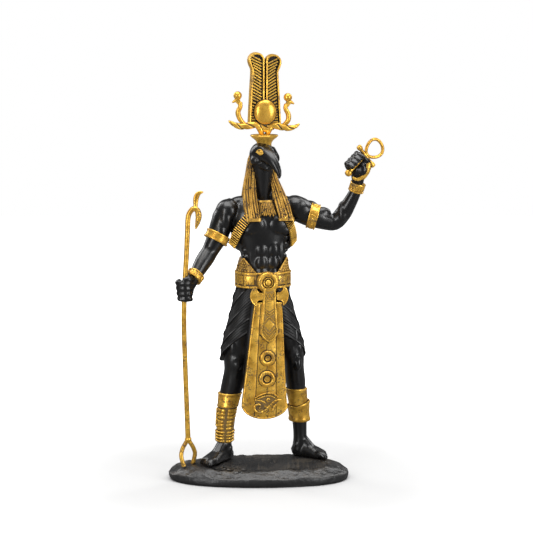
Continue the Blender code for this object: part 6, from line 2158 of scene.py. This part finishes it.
@dataclass
class Studio:
    """Pale floor, soft lights and the camera at the photograph's angle."""

    distance: float = 1.45
    elevation: float = 8.0
    lens: float = 139.05
    aim: Vector = Vector((0.0055, 0.0095, 0.1496))
    middle: Vector = Vector((-0.0015, 0.0095, 0.150))
    lamp_aim: Vector = Vector((0.0, 0.0, 0.15))
    floor_size: float = 1.6
    floor_shade_fade: tuple[float, float] = (0.10, 0.34)
    floor_shaded_near: float = 0.40
    floor_far: float = 0.95
    floor_mirrored: float = 0.07
    room_dimming: float = 0.88

    LAMPS = (
        ("key_left", (-0.78, -1.00, 0.42), (0.26, 0.82), 7.0),
        ("key_right", (1.00, -0.75, 0.42), (0.26, 0.82), 8.0),
        ("overhead", (0.0, -0.1, 1.5), (1.6, 1.2), 34.0),
        ("rim_left", (-0.8, 0.7, 0.8), (0.3, 0.9), 5.0),
        ("rim_right", (0.8, 0.7, 0.8), (0.3, 0.9), 5.0),
    )

    def build(self) -> None:
        """Sets up floor, world, lights and camera."""
        self.floor()
        self.world()
        for name, place, size, power in self.LAMPS:
            self.light(name, place, size, power)
        self.camera()

    def floor(self) -> None:
        """A wide pale floor, painted darker round the figure as shade, and dim where it is mirrored."""
        shape = bmesh.new()
        bmesh.ops.create_grid(shape, x_segments=8, y_segments=8, size=self.floor_size)
        mesh = bpy.data.meshes.new("floor")
        shape.to_mesh(mesh)
        shape.free()
        material, nodes, shader = blank_material("pale_floor")
        mirrored = nodes.add("ShaderNodeLightPath").outputs["Is Glossy Ray"]
        place = nodes.place()
        distance = nodes.add("ShaderNodeVectorMath", {0: place}, operation="LENGTH").outputs["Value"]
        tones = [(tone, tone, tone, 1.0) for tone in (self.floor_shaded_near, self.floor_far,
                                                      self.floor_mirrored)]
        # Painted shade: the floor is darker near the figure, fading out to the pale tone.
        pale = nodes.mixed(nodes.spread(distance, *self.floor_shade_fade), tones[0], tones[1])
        nodes.join(nodes.mixed(mirrored, pale, tones[2]), shader["Base Color"])
        shader["Roughness"].default_value = 0.6
        mesh.materials.append(material)
        floor = bpy.data.objects.new("floor", mesh)
        bpy.context.scene.collection.objects.link(floor)

    def world(self) -> None:
        """A white room that polished things mirror as a dim one."""
        world = bpy.data.worlds.new("studio")
        bpy.context.scene.world = world
        world.use_nodes = True
        nodes = Nodes(world.node_tree)
        background = world.node_tree.nodes["Background"]
        background.inputs["Color"].default_value = (1.0, 1.0, 1.0, 1.0)
        mirrored = nodes.add("ShaderNodeLightPath").outputs["Is Glossy Ray"]
        dimmed = nodes.maths("MULTIPLY", mirrored, self.room_dimming)
        nodes.join(nodes.maths("SUBTRACT", 1.0, dimmed), background.inputs["Strength"])

    def light(self, name: str, place: Row, size: tuple[float, float], power: float) -> None:
        """A soft box that looks at the figure.

        Args:
            name: its name.
            place: where it hangs, in metres.
            size: its width and height.
            power: its strength in watts.
        """
        lamp = bpy.data.lights.new(name, "AREA")
        lamp.shape = "RECTANGLE"
        lamp.size, lamp.size_y = size
        lamp.energy = power
        box = bpy.data.objects.new(name, lamp)
        box.location = place
        box.rotation_euler = (self.lamp_aim - Vector(place)).to_track_quat("-Z", "Y").to_euler()
        bpy.context.scene.collection.objects.link(box)

    def camera(self) -> None:
        """The camera in front of the figure, a little above it."""
        lens = bpy.data.cameras.new("camera")
        lens.lens = self.lens
        lens.sensor_width = 36.0
        lens.clip_end = 100.0
        eye = bpy.data.objects.new("camera", lens)
        lift = math.radians(self.elevation)
        eye.location = self.middle + Vector((0.0, -math.cos(lift), math.sin(lift))) * self.distance
        eye.rotation_euler = (self.aim - Vector(eye.location)).to_track_quat("-Z", "Y").to_euler()
        bpy.context.scene.collection.objects.link(eye)
        bpy.context.scene.camera = eye


def main() -> None:
    """Builds the figurine's pieces in order, and the studio round it."""
    logging.basicConfig(level=logging.INFO, format="%(message)s")
    bpy.context.scene.view_settings.view_transform = "Standard"
    shop = Workshop()
    body = Flesh().build(shop)
    for part in (Kilt(), Rock(), Crown(), Headcloth(), Harness(), Girdle(), Apron(), Greaves(), Staff(),
                 Ankh(), Face(body)):
        part.build(shop)
    Studio().build()


if __name__ == "__main__":
    main()
